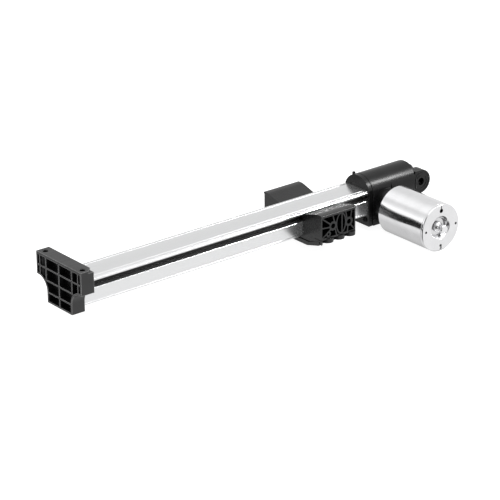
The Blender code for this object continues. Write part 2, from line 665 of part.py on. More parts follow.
def make_worm_wheel():
    """Helical wheel on the screw's axis; a tooth points straight down at the worm at mid width."""
    skin = material("gear_polymer", (0.86, 0.85, 0.8), 0.4)
    pitch_r = WHEEL_TEETH * MODULE / 2
    tip_r = pitch_r + ADDENDUM
    root_r = pitch_r - DEDENDUM
    tip_half = TOOTH / 2 - ADDENDUM * FLANK
    root_half = TOOTH / 2 + DEDENDUM * FLANK
    helix = MODULE * math.pi / (2 * math.pi * WORM_PITCH_R) / pitch_r
    half = WHEEL_WIDTH / 2
    outline = []
    for k in range(WHEEL_TEETH):
        angle = 2 * math.pi * k / WHEEL_TEETH - helix * half
        outline += [gear_point(root_r, root_half, angle, -1), gear_point(tip_r, tip_half, angle, -1),
                    gear_point(tip_r, tip_half, angle, 1), gear_point(root_r, root_half, angle, 1)]
    bm = bmesh.new()
    face = bm.faces.new([bm.verts.new((a * MM, b * MM, -half * MM)) for a, b in outline])
    for step in range(2):
        grown = bmesh.ops.extrude_face_region(bm, geom=[face])["geom"]
        if step:
            bmesh.ops.delete(bm, geom=[face], context="FACES_ONLY")
        moved = [piece for piece in grown if isinstance(piece, bmesh.types.BMVert)]
        face = next(piece for piece in grown if isinstance(piece, bmesh.types.BMFace))
        bmesh.ops.translate(bm, verts=moved, vec=(0, 0, half * MM))
        bmesh.ops.rotate(bm, verts=moved, matrix=Matrix.Rotation(helix * half, 3, "Z"))
    item = node("worm_wheel", stand(mesh_object(bm), "X", 0.0, SCREW_Z, MOTOR_X), skin)
    axis = (0.0, SCREW_Z)
    join(item, tool("wheel_hub", rod(WHEEL_HUB_R, "X", axis, 382.0, 395.2, 24)))
    cut(item, tool("wheel_bore", rod(WHEEL_BORE_R, "X", axis, 380.0, 398.0, 24)))


def make_worm_shaft():
    """Motor shaft with the worm rolled into its end."""
    skin = material("shaft_steel", (0.6, 0.61, 0.63), 0.22, 1.0)
    centre = (MOTOR_X, MOTOR_Z)
    lead = math.pi * MODULE
    tip = TOOTH - 2 * ADDENDUM * FLANK
    base = TOOTH + 2 * DEDENDUM * FLANK
    worm = thread("Y", centre, WORM_PITCH_R - DEDENDUM, WORM_PITCH_R + ADDENDUM, lead, tip, base,
                  -9.6, 9.6, 16, lead / 2)
    item = node("worm_shaft", worm, skin)
    shaft = turned([(-92.5, 0.0), (-92.5, SHAFT_R), (14.6, SHAFT_R), (15.0, 1.8), (15.0, 0.0)], "Y", centre, 16)
    join(item, tool("shaft", shaft))


def make_worm_bearings():
    skin = material("bush_bronze", (0.6, 0.42, 0.22), 0.35, 1.0)
    centre = (MOTOR_X, MOTOR_Z)
    for name, low, high in (("worm_bush_end", 10.4, 14.4), ("worm_bush_motor", -27.0, -12.0)):
        ring = [(low, SHAFT_BORE_R), (low, BUSH_R), (high, BUSH_R), (high, SHAFT_BORE_R)]
        node(name, turned(ring, "Y", centre, 24), skin)


def make_motor_can():
    """Drawn steel can with a rolled rim, a central well and four assembly marks in its end."""
    skin = material("motor_nickel", (0.78, 0.78, 0.79), 0.2, 1.0)
    centre = (MOTOR_X, MOTOR_Z)
    inner = CAN_R - CAN_WALL
    profile = [(CAN_START, inner), (CAN_START, CAN_R), (CAN_END + 1.8, CAN_R)]
    profile += [(CAN_END + 1.8 - 1.8 * math.sin(t), CAN_R - 1.8 + 1.8 * math.cos(t))
                for t in (math.pi / 6, math.pi / 3, math.pi / 2)]
    profile += [(CAN_END, 12.6), (CAN_END + 0.8, 11.8), (CAN_END + 6.2, 9.4), (CAN_END + 6.8, 8.6),
                (CAN_END + 6.8, 2.6), (CAN_END + 8.2, 2.6), (CAN_END + 8.2, 9.6),
                (CAN_END + 1.6, 14.0), (CAN_END + 1.6, inner)]
    item = node("motor_can", turned(profile, "Y", centre, 56), skin)
    marks = ((90, 1.4, 19.4), (270, 1.4, 19.4), (180, 1.1, 20.2), (0, 1.1, 20.2))
    for i, (angle, radius, reach) in enumerate(marks):
        x = MOTOR_X + reach * math.cos(math.radians(angle))
        z = MOTOR_Z + reach * math.sin(math.radians(angle))
        cut(item, tool(f"can_mark_{i}", rod(radius, "Y", (x, z), CAN_END - 2.0, CAN_END + 3.0, 12)))
    slot = box((MOTOR_X - 1.2, CAN_END - 2.0, MOTOR_Z - 21.4),
               (MOTOR_X + 1.2, CAN_END + 3.0, MOTOR_Z - 17.0))
    cut(item, tool("can_slot", slot))


def make_motor_insides():
    """End plate, brush gear, magnets and armature."""
    centre = (MOTOR_X, MOTOR_Z)
    steel = material("plate_steel", (0.5, 0.5, 0.52), 0.35, 1.0)
    plate = [(-34.8, 2.7), (-34.8, 23.2), (CAN_START - 0.6, 23.2), (CAN_START - 0.6, 2.7)]
    node("motor_plate", turned(plate, "Y", centre, 40), steel)
    plastic = material("holder_plastic", (0.12, 0.1, 0.08), 0.5)
    holder = [(-45.0, 12.6), (-45.0, 23.0), (-35.4, 23.0), (-35.4, 12.6)]
    item = node("brush_holder", turned(holder, "Y", centre, 32), plastic)
    window = box((MOTOR_X - 30.0, -43.5, MOTOR_Z - 3.3), (MOTOR_X + 30.0, -37.0, MOTOR_Z + 3.3))
    ends = box((MOTOR_X - 20.0, -44.5, MOTOR_Z - 4.0), (MOTOR_X + 20.0, -36.0, MOTOR_Z + 4.0))
    window = tool("brush_window", window)
    shape(window, tool("brush_ends", ends), "INTERSECT")
    cut(item, window)
    carbon = material("brush_carbon", (0.05, 0.05, 0.05), 0.6)
    for name, side in (("brush_left", -1), ("brush_right", 1)):
        near, far = sorted((side * 7.6, side * 18.5))
        node(name, box((MOTOR_X + near, -43.2, MOTOR_Z - 3.0), (MOTOR_X + far, -37.3, MOTOR_Z + 3.0)), carbon)
    copper = material("copper", (0.72, 0.38, 0.22), 0.3, 1.0)
    ring = [(-45.5, SHAFT_BORE_R), (-45.5, 7.2), (-36.4, 7.2), (-36.4, SHAFT_BORE_R)]
    node("commutator", turned(ring, "Y", centre, 24), copper)
    iron = material("armature_iron", (0.3, 0.28, 0.27), 0.45, 0.8)
    body = [(-88.0, SHAFT_BORE_R), (-88.0, 14.0), (-86.0, ARMATURE_R), (-50.0, ARMATURE_R), (-48.0, 14.0),
            (-48.0, SHAFT_BORE_R)]
    node("armature", turned(body, "Y", centre, 32), iron)
    ferrite = material("magnet_ferrite", (0.08, 0.08, 0.085), 0.55)
    for name, start_deg in (("magnet_left", 110.0), ("magnet_right", -70.0)):
        outline = arc(centre, MAGNET_R, start_deg, start_deg + 140.0, 18)
        outline += arc(centre, MAGNET_R - MAGNET_WALL, start_deg + 140.0, start_deg, 18)
        node(name, prism(outline, "Y", -88.5, -50.0), ferrite)


def make_rear_cap():
    """Stepped bearing cap that stands out of the well in the motor's end."""
    skin = material("cap_chrome", (0.85, 0.85, 0.86), 0.1, 1.0)
    base = CAN_END + 6.5
    profile = [(base, 0.0), (base, 4.6), (base - 0.6, 5.2), (base - 2.6, 5.2), (base - 3.4, 4.4),
               (base - 4.8, 3.1), (base - 6.2, 2.9), (base - 7.4, 3.4), (base - 8.2, 4.2),
               (base - 10.8, 4.2), (base - 11.8, 3.4), (base - 12.2, 2.0), (base - 12.2, 0.0)]
    item = node("rear_bearing_cap", turned(profile, "Y", (MOTOR_X, MOTOR_Z), 28), skin)


def carry(name, axis_point, names):
    """Hang sub-parts from an empty that stands on their joint's axis."""
    axis = bpy.data.objects.new(name, None)
    axis.location = Vector(axis_point) * MM
    axis.empty_display_size = 10.0 * MM
    part.objects.link(axis)
    bpy.context.view_layer.update()
    for piece in names:
        item = bpy.data.objects[piece]
        item.parent = axis
        item.matrix_parent_inverse = axis.matrix_world.inverted()


def carry_moving_parts():
    sliding = ("slider_block", "drive_nut", "nut_screw_1", "nut_screw_2")
    carry("slider_axis", (SLIDER_FRONT, 0.0, SCREW_Z), sliding)
    carry("spindle_axis", (MOTOR_X, 0.0, SCREW_Z), ("lead_screw", "worm_wheel"))
    carry("rotor_axis", (MOTOR_X, 0.0, MOTOR_Z), ("worm_shaft", "commutator", "armature"))


def main():
    start()
    make_rail()
    make_glide_strips()
    make_bracket()
    make_slider()
    make_nut()
    make_nut_screws()
    make_lead_screw()
    make_front_bush()
    make_limit_switches()
    make_front_collar()
    make_collar_screws()
    make_gear_housing()
    make_worm_cover()
    make_bearings()
    make_worm_wheel()
    make_worm_shaft()
    make_worm_bearings()
    make_motor_can()
    make_motor_insides()
    make_rear_cap()
    carry_moving_parts()


main()
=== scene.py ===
"""Looks of the linear rail actuator: fine pieces, node materials, studio and camera.

Lengths are in millimetres in the helpers, and become metres when a mesh is made. Places come from the
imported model's boxes and joints, so every fine piece sits exactly where its CAD part is.
"""
import json
import math

import bmesh
import bpy
from mathutils import Matrix, Vector

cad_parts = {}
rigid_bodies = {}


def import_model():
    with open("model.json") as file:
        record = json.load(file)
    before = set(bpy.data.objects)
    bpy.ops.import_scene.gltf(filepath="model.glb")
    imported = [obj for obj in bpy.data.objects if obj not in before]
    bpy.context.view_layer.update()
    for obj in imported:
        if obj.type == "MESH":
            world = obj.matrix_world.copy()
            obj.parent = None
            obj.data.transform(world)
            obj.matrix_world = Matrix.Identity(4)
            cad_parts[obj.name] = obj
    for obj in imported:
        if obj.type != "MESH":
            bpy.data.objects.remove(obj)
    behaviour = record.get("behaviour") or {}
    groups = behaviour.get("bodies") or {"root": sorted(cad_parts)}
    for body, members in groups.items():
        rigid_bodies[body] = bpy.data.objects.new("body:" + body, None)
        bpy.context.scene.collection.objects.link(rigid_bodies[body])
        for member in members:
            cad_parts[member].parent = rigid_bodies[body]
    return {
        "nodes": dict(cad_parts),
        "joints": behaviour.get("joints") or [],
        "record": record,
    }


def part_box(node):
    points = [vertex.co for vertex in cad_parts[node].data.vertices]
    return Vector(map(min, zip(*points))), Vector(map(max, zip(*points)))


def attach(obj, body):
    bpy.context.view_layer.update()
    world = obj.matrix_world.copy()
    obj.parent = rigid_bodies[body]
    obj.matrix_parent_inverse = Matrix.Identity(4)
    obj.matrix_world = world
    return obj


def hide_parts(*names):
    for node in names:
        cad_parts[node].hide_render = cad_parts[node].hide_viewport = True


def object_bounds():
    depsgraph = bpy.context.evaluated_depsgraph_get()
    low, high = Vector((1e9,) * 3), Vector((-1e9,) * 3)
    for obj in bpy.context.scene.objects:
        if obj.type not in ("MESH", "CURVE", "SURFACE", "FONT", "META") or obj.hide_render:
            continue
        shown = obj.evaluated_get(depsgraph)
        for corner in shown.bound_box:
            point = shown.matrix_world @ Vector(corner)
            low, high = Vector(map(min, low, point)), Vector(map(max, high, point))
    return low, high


MM = 0.001
WELD = 0.00001  # metres; closer points are merged
GAP = 0.3  # clearance round the rail and at the gearbox's seams
SHARP_DEG = 34.0  # an edge that turns more than this stays crisp


def clear_scene():
    for item in list(bpy.data.objects):
        bpy.data.objects.remove(item, do_unlink=True)


clear_scene()
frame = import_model()
cad_low, cad_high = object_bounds()


def box_mm(node):
    """A CAD node's corners in millimetres."""
    low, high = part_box(node)
    return Vector(low) / MM, Vector(high) / MM


def joint_mm(name):
    """A joint's place in millimetres."""
    found = next(joint for joint in frame["joints"] if joint["name"] == name)
    return Vector(found["pos_m"]) / MM


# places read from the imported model
RAIL_LOW, RAIL_HIGH = box_mm("rail")
BRACKET_LOW, BRACKET_HIGH = box_mm("front_bracket")
SLIDER_LOW, SLIDER_HIGH = box_mm("slider_block")
COLLAR_LOW, COLLAR_HIGH = box_mm("front_collar")
HOUSING_HIGH = box_mm("gear_housing")[1]
CAN_LOW, CAN_HIGH = box_mm("motor_can")
CAP_LOW, CAP_HIGH = box_mm("rear_bearing_cap")
COVER_LOW, COVER_HIGH = box_mm("worm_cover")
SPINDLE = joint_mm("spindle_spin")
ROTOR = joint_mm("rotor_spin")

RAIL_Z = (RAIL_LOW.z + RAIL_HIGH.z) / 2
RAIL_HALF = RAIL_HIGH.y
RAIL_TOP = RAIL_HIGH.z
RAIL_BOTTOM = RAIL_LOW.z
GROOVE_TOP = RAIL_Z + 9.1
GROOVE_FLOOR = RAIL_Z + 2.3
SCREW_Z = SPINDLE.z
MOTOR_X = ROTOR.x
MOTOR_Z = ROTOR.z
SLIDER_FRONT = SLIDER_LOW.x + 1.2
SLIDER_REAR = SLIDER_FRONT + 45.3
FORK_R = 12.6
FORK_X = HOUSING_HIGH.x - FORK_R
FORK_START = 428.5
HOUSING_COLLAR = COLLAR_HIGH.x + GAP
CAN_MOUTH = CAN_HIGH.y - 1.7

# screw places: y and z on the collar, x and z on the cover, x on the slider
COLLAR_SCREWS = ((-12.5, RAIL_Z - 19.4), (12.5, RAIL_Z - 19.4))
COVER_SCREWS = ((MOTOR_X - 8.2, MOTOR_Z - 8.2), (MOTOR_X + 8.2, MOTOR_Z - 8.2),
                (MOTOR_X - 8.2, MOTOR_Z + 4.0), (MOTOR_X + 8.2, MOTOR_Z + 4.0))
NUT_SCREWS = (292.0, 309.0)
PILOT_R = 1.3

cutters = bpy.data.collections.new("cutters")
pieces = bpy.data.collections.new("pieces")
skins = {}
bpy.context.scene.collection.children.link(pieces)


# ---------------------------------------------------------------- shape helpers

def turn_to(axis):
    """The rotation that lays local x and y in a section and local z along the named axis."""
    if axis == "X":
        return Matrix(((0, 0, 1), (1, 0, 0), (0, 1, 0)))
    if axis == "Y":
        return Matrix(((1, 0, 0), (0, 0, -1), (0, 1, 0)))
    return Matrix.Identity(3)


def along_sign(axis):
    """Local z runs against the Y axis, and with the other two."""
    return -1 if axis == "Y" else 1


def stand(item, axis, across, up, along):
    """Put an object's origin at a section point, with its local z on the axis."""
    local = Vector((across, up, along_sign(axis) * along)) * MM
    item.matrix_world = Matrix.Translation(turn_to(axis) @ local) @ turn_to(axis).to_4x4()
    return item


def mesh_object(bm, name="piece"):
    bmesh.ops.recalc_face_normals(bm, faces=bm.faces)
    mesh = bpy.data.meshes.new(name)
    bm.to_mesh(mesh)
    bm.free()
    item = bpy.data.objects.new(name, mesh)
    pieces.objects.link(item)
    return item


def prism(outline, axis, low, high):
    """A closed outline of (across, up) points, filled and extruded along an axis."""
    half = (high - low) / 2 * MM
    bm = bmesh.new()
    face = bm.faces.new([bm.verts.new((a * MM, b * MM, -half)) for a, b in outline])
    grown = bmesh.ops.extrude_face_region(bm, geom=[face])["geom"]
    moved = [v for v in grown if isinstance(v, bmesh.types.BMVert)]
    bmesh.ops.translate(bm, verts=moved, vec=(0, 0, 2 * half))
    return stand(mesh_object(bm), axis, 0.0, 0.0, (low + high) / 2)


def block(low, high):
    """A block between two corners."""
    low = Vector(low) * MM
    high = Vector(high) * MM
    bm = bmesh.new()
    bmesh.ops.create_cube(bm, size=1.0)
    bmesh.ops.scale(bm, vec=high - low, verts=bm.verts)
    item = mesh_object(bm)
    item.matrix_world = Matrix.Translation((low + high) / 2)
    return item


def turned(profile, axis, centre, steps):
    """Turn (along, radius) points about an axis: a closed outline, or one that meets the axis."""
    sign = along_sign(axis)
    points = [(radius, sign * along) for along, radius in profile]
    area = sum(a[0] * b[1] - b[0] * a[1] for a, b in zip(points, points[1:] + points[:1]))
    if area > 0:
        points.reverse()
    closed = min(radius for radius, _ in points) > 0
    bm = bmesh.new()
    verts = [bm.verts.new((radius * MM, 0.0, up * MM)) for radius, up in points]
    pairs = list(zip(verts, verts[1:]))
    if closed:
        pairs.append((verts[-1], verts[0]))
    for pair in pairs:
        bm.edges.new(pair)
    item = mesh_object(bm)
    spin = item.modifiers.new("turn", "SCREW")
    spin.steps = steps
    spin.render_steps = steps
    spin.use_merge_vertices = True
    spin.merge_threshold = WELD
    return stand(item, axis, centre[0], centre[1], 0.0)


def rod(radius, axis, centre, low, high, steps=32):
    return turned([(low, 0.0), (low, radius), (high, radius), (high, 0.0)], axis, centre, steps)


def arc(centre, radius, start_deg, end_deg, steps):
    """Points on an arc, ends included."""
    points = []
    for i in range(steps + 1):
        angle = math.radians(start_deg + (end_deg - start_deg) * i / steps)
        points.append((centre[0] + radius * math.cos(angle), centre[1] + radius * math.sin(angle)))
    return points


def circle(centre, radius, steps):
    return arc(centre, radius, 0.0, 360.0, steps)[:-1]


def mirrored(right):
    """An outline from its right half, closed by the same points mirrored, in reverse."""
    return right + [(-a, b) for a, b in reversed(right)]


def rectangle(centre, half_width, half_height):
    x, y = centre
    return [(x - half_width, y - half_height), (x + half_width, y - half_height),
            (x + half_width, y + half_height), (x - half_width, y + half_height)]


def rail_opening():
    """The hole that the rail passes through, with a gap all round."""
    half = RAIL_HALF + GAP
    low = RAIL_BOTTOM - GAP
    high = RAIL_TOP + GAP
    return [(half, low), (half, high), (-half, high), (-half, low)]


def bar(start_point, end_point, width):
    """A rib's outline between two points."""
    a = Vector(start_point)
    b = Vector(end_point)
    across = (b - a).normalized()
    across = Vector((-across.y, across.x)) * width / 2
    return [tuple(a + across), tuple(a - across), tuple(b - across), tuple(b + across)]


def rounded(points, radii, steps=4):
    """Round the corners of an outline. radii is one number, or one for each corner."""
    made = []
    count = len(points)
    for i, corner in enumerate(points):
        radius = radii[i] if isinstance(radii, (list, tuple)) else radii
        here = Vector(corner)
        back = Vector(points[i - 1]) - here
        ahead = Vector(points[(i + 1) % count]) - here
        if radius <= 0:
            made.append(corner)
            continue
        reach = min(radius, back.length * 0.45, ahead.length * 0.45)
        start_point = here + back.normalized() * reach
        end_point = here + ahead.normalized() * reach
        for k in range(steps + 1):
            t = k / steps
            p = start_point * (1 - t) ** 2 + here * 2 * t * (1 - t) + end_point * t ** 2
            made.append((p.x, p.y))
    return made


def combine(item, other, operation):
    """Join or cut with a helper solid, which is then put away."""
    step = item.modifiers.new(operation.lower(), "BOOLEAN")
    step.operation = operation
    step.solver = "EXACT"
    step.object = other
    pieces.objects.unlink(other)
    cutters.objects.link(other)
    other.hide_render = True


def cut(item, other):
    combine(item, other, "DIFFERENCE")


def join(item, other):
    combine(item, other, "UNION")


def put_away(item):
    """Remove the helper solids that an object's modifiers name, and theirs."""
    for step in item.modifiers:
        if step.type == "BOOLEAN":
            put_away(step.object)
            bpy.data.objects.remove(step.object, do_unlink=True)


def settle(item):
    """Replace an object's modifiers with their result, in the shared frame."""
    bpy.context.scene.collection.children.link(cutters)
    bpy.context.view_layer.update()
    view = bpy.context.evaluated_depsgraph_get()
    mesh = bpy.data.meshes.new_from_object(item.evaluated_get(view))
    mesh.transform(item.matrix_world)
    put_away(item)
    item.modifiers.clear()
    item.data = mesh
    item.matrix_world = Matrix.Identity(4)
    bpy.context.scene.collection.children.unlink(cutters)
    return item


def finish_piece(name, item, slot_name, body, nodes, edge=0.3, segments=2, sharp=SHARP_DEG):
    """Settle a piece, soften its edges, and tie it to its body and CAD nodes."""
    settle(item)
    bm = bmesh.new()
    bm.from_mesh(item.data)
    bmesh.ops.remove_doubles(bm, verts=bm.verts, dist=WELD)
    bmesh.ops.dissolve_limit(bm, angle_limit=math.radians(0.4), verts=bm.verts, edges=bm.edges)
    bm.to_mesh(item.data)
    bm.free()
    for polygon in item.data.polygons:
        polygon.use_smooth = True
    item.data.set_sharp_from_angle(angle=math.radians(sharp))
    if edge > 0:
        soft = item.modifiers.new("edges", "BEVEL")
        soft.width = edge * MM
        soft.segments = segments
        soft.limit_method = "ANGLE"
        soft.angle_limit = math.radians(SHARP_DEG)
        soft.use_clamp_overlap = True
        soft.harden_normals = True
        soft.miter_outer = "MITER_ARC"
    level = item.modifiers.new("flats", "WEIGHTED_NORMAL")
    level.mode = "FACE_AREA"
    level.weight = 100
    level.keep_sharp = True
    item.name = name
    item.data.name = name
    item.data.materials.clear()
    item.data.materials.append(skins[slot_name])
    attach(item, body)
    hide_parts(*nodes)
    return item


# ---------------------------------------------------------------- materials

# painted shade: the near-black that deep pockets in the plastics are darkened to
PAINTED_POCKET_SHADE = (0.0008, 0.0008, 0.0008)
# painted shade: the grey that hollows in bright metal are darkened to
HOLLOW_SHADE_GREY = (0.3, 0.3, 0.305)


def new_material(name):
    """A node material with only a shader and an output. Gives it, its tree and the shader."""
    made = bpy.data.materials.new("skin_" + name)
    made.use_nodes = True
    tree = made.node_tree
    tree.nodes.clear()
    out = tree.nodes.new("ShaderNodeOutputMaterial")
    shader = tree.nodes.new("ShaderNodeBsdfPrincipled")
    tree.links.new(shader.outputs["BSDF"], out.inputs["Surface"])
    return made, tree, shader


def spot(tree, stretch):
    """Object coordinates, stretched by a factor on each axis."""
    where = tree.nodes.new("ShaderNodeTexCoord")
    scale = tree.nodes.new("ShaderNodeMapping")
    scale.inputs["Scale"].default_value = stretch
    tree.links.new(where.outputs["Object"], scale.inputs["Vector"])
    return scale.outputs["Vector"]


def noise(tree, stretch, detail=4.0, rough=0.55):
    made = tree.nodes.new("ShaderNodeTexNoise")
    made.inputs["Scale"].default_value = 1.0
    made.inputs["Detail"].default_value = detail
    made.inputs["Roughness"].default_value = rough
    tree.links.new(spot(tree, stretch), made.inputs["Vector"])
    return made.outputs["Fac"]


def spread(tree, value, low, high, from_low=0.3, from_high=0.7, smooth=False):
    """Map a value's useful part onto a range, in a straight line or with eased ends."""
    made = tree.nodes.new("ShaderNodeMapRange")
    if smooth:
        made.interpolation_type = "SMOOTHSTEP"
    made.inputs["From Min"].default_value = from_low
    made.inputs["From Max"].default_value = from_high
    made.inputs["To Min"].default_value = low
    made.inputs["To Max"].default_value = high
    tree.links.new(value, made.inputs["Value"])
    return made.outputs["Result"]


def blend(tree, factor, first, second):
    """A colour mix. Each end is a colour or another node's output."""
    made = tree.nodes.new("ShaderNodeMix")
    made.data_type = "RGBA"
    tree.links.new(factor, made.inputs["Factor"])
    for name, end in (("A", first), ("B", second)):
        if isinstance(end, tuple):
            made.inputs[name].default_value = (*end, 1.0)
        else:
            tree.links.new(end, made.inputs[name])
    return made.outputs["Result"]


def arithmetic(tree, operation, *terms):
    """A math node. Each term is a number or another node's output."""
    made = tree.nodes.new("ShaderNodeMath")
    made.operation = operation
    for socket, term in zip(made.inputs, terms):
        if isinstance(term, float):
            socket.default_value = term
        else:
            tree.links.new(term, socket)
    return made.outputs["Value"]


def relief(tree, shader, heights, distance, strength=1.0):
    """Bump from one or more height values, added together."""
    total = heights[0]
    for extra in heights[1:]:
        total = arithmetic(tree, "ADD", total, extra)
    bump = tree.nodes.new("ShaderNodeBump")
    bump.inputs["Distance"].default_value = distance
    bump.inputs["Strength"].default_value = strength
    tree.links.new(total, bump.inputs["Height"])
    tree.links.new(bump.outputs["Normal"], shader.inputs["Normal"])


def edge_mask(tree, radius):
    """1 on edges within a radius and 0 on flats, from how far a rounded normal leans."""
    soft = tree.nodes.new("ShaderNodeBevel")
    soft.samples = 6
    soft.inputs["Radius"].default_value = radius
    flat = tree.nodes.new("ShaderNodeNewGeometry")
    lean = tree.nodes.new("ShaderNodeVectorMath")
    lean.operation = "DOT_PRODUCT"
    tree.links.new(soft.outputs["Normal"], lean.inputs[0])
    tree.links.new(flat.outputs["Normal"], lean.inputs[1])
    return spread(tree, lean.outputs["Value"], 1.0, 0.0, 0.9, 0.995)


def ao_shade_mask(tree, reach):
    """1 where a surface is open and 0 deep in a pocket; it steers the painted shade in pockets and hollows.
    """
    shade = tree.nodes.new("ShaderNodeAmbientOcclusion")
    shade.samples = 8
    shade.inputs["Distance"].default_value = reach
    return shade.outputs["AO"]


def moulded_plastic(name, tone, rough, edge_highlight=0.09, specular=0.35):
    """Mould grain, flow streaks, painted shade that turns pockets black, and a painted highlight that
    lightens open edges.
    """
    made, tree, shader = new_material(name)
    grain = noise(tree, (1400.0, 1400.0, 1400.0), 3.0, 0.6)
    cloud = noise(tree, (60.0, 60.0, 60.0), 5.0, 0.6)
    flow = noise(tree, (25.0, 220.0, 220.0), 3.0, 0.5)
    # ambient occlusion that paints shade into pockets and keeps the painted edge highlight out of them
    painted_shade_ao = ao_shade_mask(tree, 0.012)
    dark = tuple(c * 0.65 for c in tone)
    light = tuple(c * 1.35 for c in tone)
    # painted highlight: open edges are lightened by this much, for light caught on them
    highlight_tone = tuple(c + edge_highlight for c in tone)
    mottled = blend(tree, spread(tree, cloud, 0.0, 1.0), dark, light)
    # painted highlight mask: rounded edges that are open to the air
    highlight_mask = arithmetic(tree, "MULTIPLY", edge_mask(tree, 0.0007),
                         spread(tree, painted_shade_ao, 0.0, 1.0, 0.35, 0.75))
    highlighted = blend(tree, highlight_mask, mottled, highlight_tone)
    # painted shade: the colour goes to near-black deep in pockets
    colour = blend(tree, spread(tree, painted_shade_ao, 0.0, 1.0, 0.3, 0.7), PAINTED_POCKET_SHADE, highlighted)
    tree.links.new(colour, shader.inputs["Base Color"])
    tree.links.new(spread(tree, flow, rough - 0.06, rough + 0.07), shader.inputs["Roughness"])
    shader.inputs["Specular IOR Level"].default_value = specular
    relief(tree, shader, [grain], 0.000012, 0.5)
    return made


def drawn_aluminium(name, tone, rough):
    """Anodised extrusion: die lines along the rail, faint banding and small marks."""
    made, tree, shader = new_material(name)
    lines = noise(tree, (1.2, 1500.0, 1500.0), 6.0, 0.7)
    bands = noise(tree, (0.8, 160.0, 160.0), 3.0, 0.5)
    marks = noise(tree, (140.0, 420.0, 420.0), 4.0, 0.6)
    dark = tuple(c * 0.96 for c in tone)
    banded = blend(tree, spread(tree, bands, 0.0, 1.0), dark, tone)
    tree.links.new(banded, shader.inputs["Base Color"])
    shader.inputs["Metallic"].default_value = 0.94
    tree.links.new(spread(tree, lines, rough - 0.03, rough + 0.04), shader.inputs["Roughness"])
    relief(tree, shader, [lines, spread(tree, marks, 0.0, 0.25)], 0.000004, 0.4)
    return made


def ring_metal(name, tone, rough, axis_point, pitch, bump):
    """Turned or drawn metal whose marks run round an axis parallel to Y."""
    made, tree, shader = new_material(name)
    where = tree.nodes.new("ShaderNodeTexCoord")
    split = tree.nodes.new("ShaderNodeSeparateXYZ")
    tree.links.new(where.outputs["Object"], split.inputs[0])
    squares = []
    for axis, centre in (("X", axis_point.x), ("Z", axis_point.z)):
        offset = arithmetic(tree, "SUBTRACT", split.outputs[axis], centre * MM)
        squares.append(arithmetic(tree, "POWER", offset, 2.0))
    radius = arithmetic(tree, "SQRT", arithmetic(tree, "ADD", *squares))
    ring_place = tree.nodes.new("ShaderNodeCombineXYZ")
    tree.links.new(radius, ring_place.inputs["X"])
    tree.links.new(split.outputs["Y"], ring_place.inputs["Y"])
    rings = tree.nodes.new("ShaderNodeTexNoise")
    rings.inputs["Scale"].default_value = 1.0 / (pitch * MM)
    rings.inputs["Detail"].default_value = 5.0
    rings.inputs["Roughness"].default_value = 0.65
    tree.links.new(ring_place.outputs[0], rings.inputs["Vector"])
    cloud = noise(tree, (90.0, 90.0, 90.0), 4.0, 0.6)
    smear = noise(tree, (400.0, 60.0, 400.0), 4.0, 0.6)
    dark = tuple(c * 0.94 for c in tone)
    unshaded = blend(tree, spread(tree, cloud, 0.0, 1.0), dark, tone)
    # painted shade: hollows are darkened towards grey
    colour = blend(tree, spread(tree, ao_shade_mask(tree, 0.006), 0.0, 1.0, 0.1, 0.75), HOLLOW_SHADE_GREY, unshaded)
    tree.links.new(colour, shader.inputs["Base Color"])
    shader.inputs["Metallic"].default_value = 1.0
    tree.links.new(spread(tree, smear, rough - 0.03, rough + 0.05), shader.inputs["Roughness"])
    relief(tree, shader, [rings.outputs["Fac"]], bump * MM, 0.4)
    return made


def worked_metal(name, tone, rough):
    """Plain machined, plated or sintered metal with fine marks."""
    made, tree, shader = new_material(name)
    marks = noise(tree, (600.0, 600.0, 600.0), 5.0, 0.65)
    cloud = noise(tree, (150.0, 150.0, 150.0), 4.0, 0.6)
    dark = tuple(c * 0.82 for c in tone)
    mottled = blend(tree, spread(tree, cloud, 0.0, 1.0), dark, tone)
    tree.links.new(mottled, shader.inputs["Base Color"])
    shader.inputs["Metallic"].default_value = 1.0
    tree.links.new(spread(tree, marks, rough - 0.06, rough + 0.1), shader.inputs["Roughness"])
    relief(tree, shader, [marks], 0.00001, 0.5)
    return made


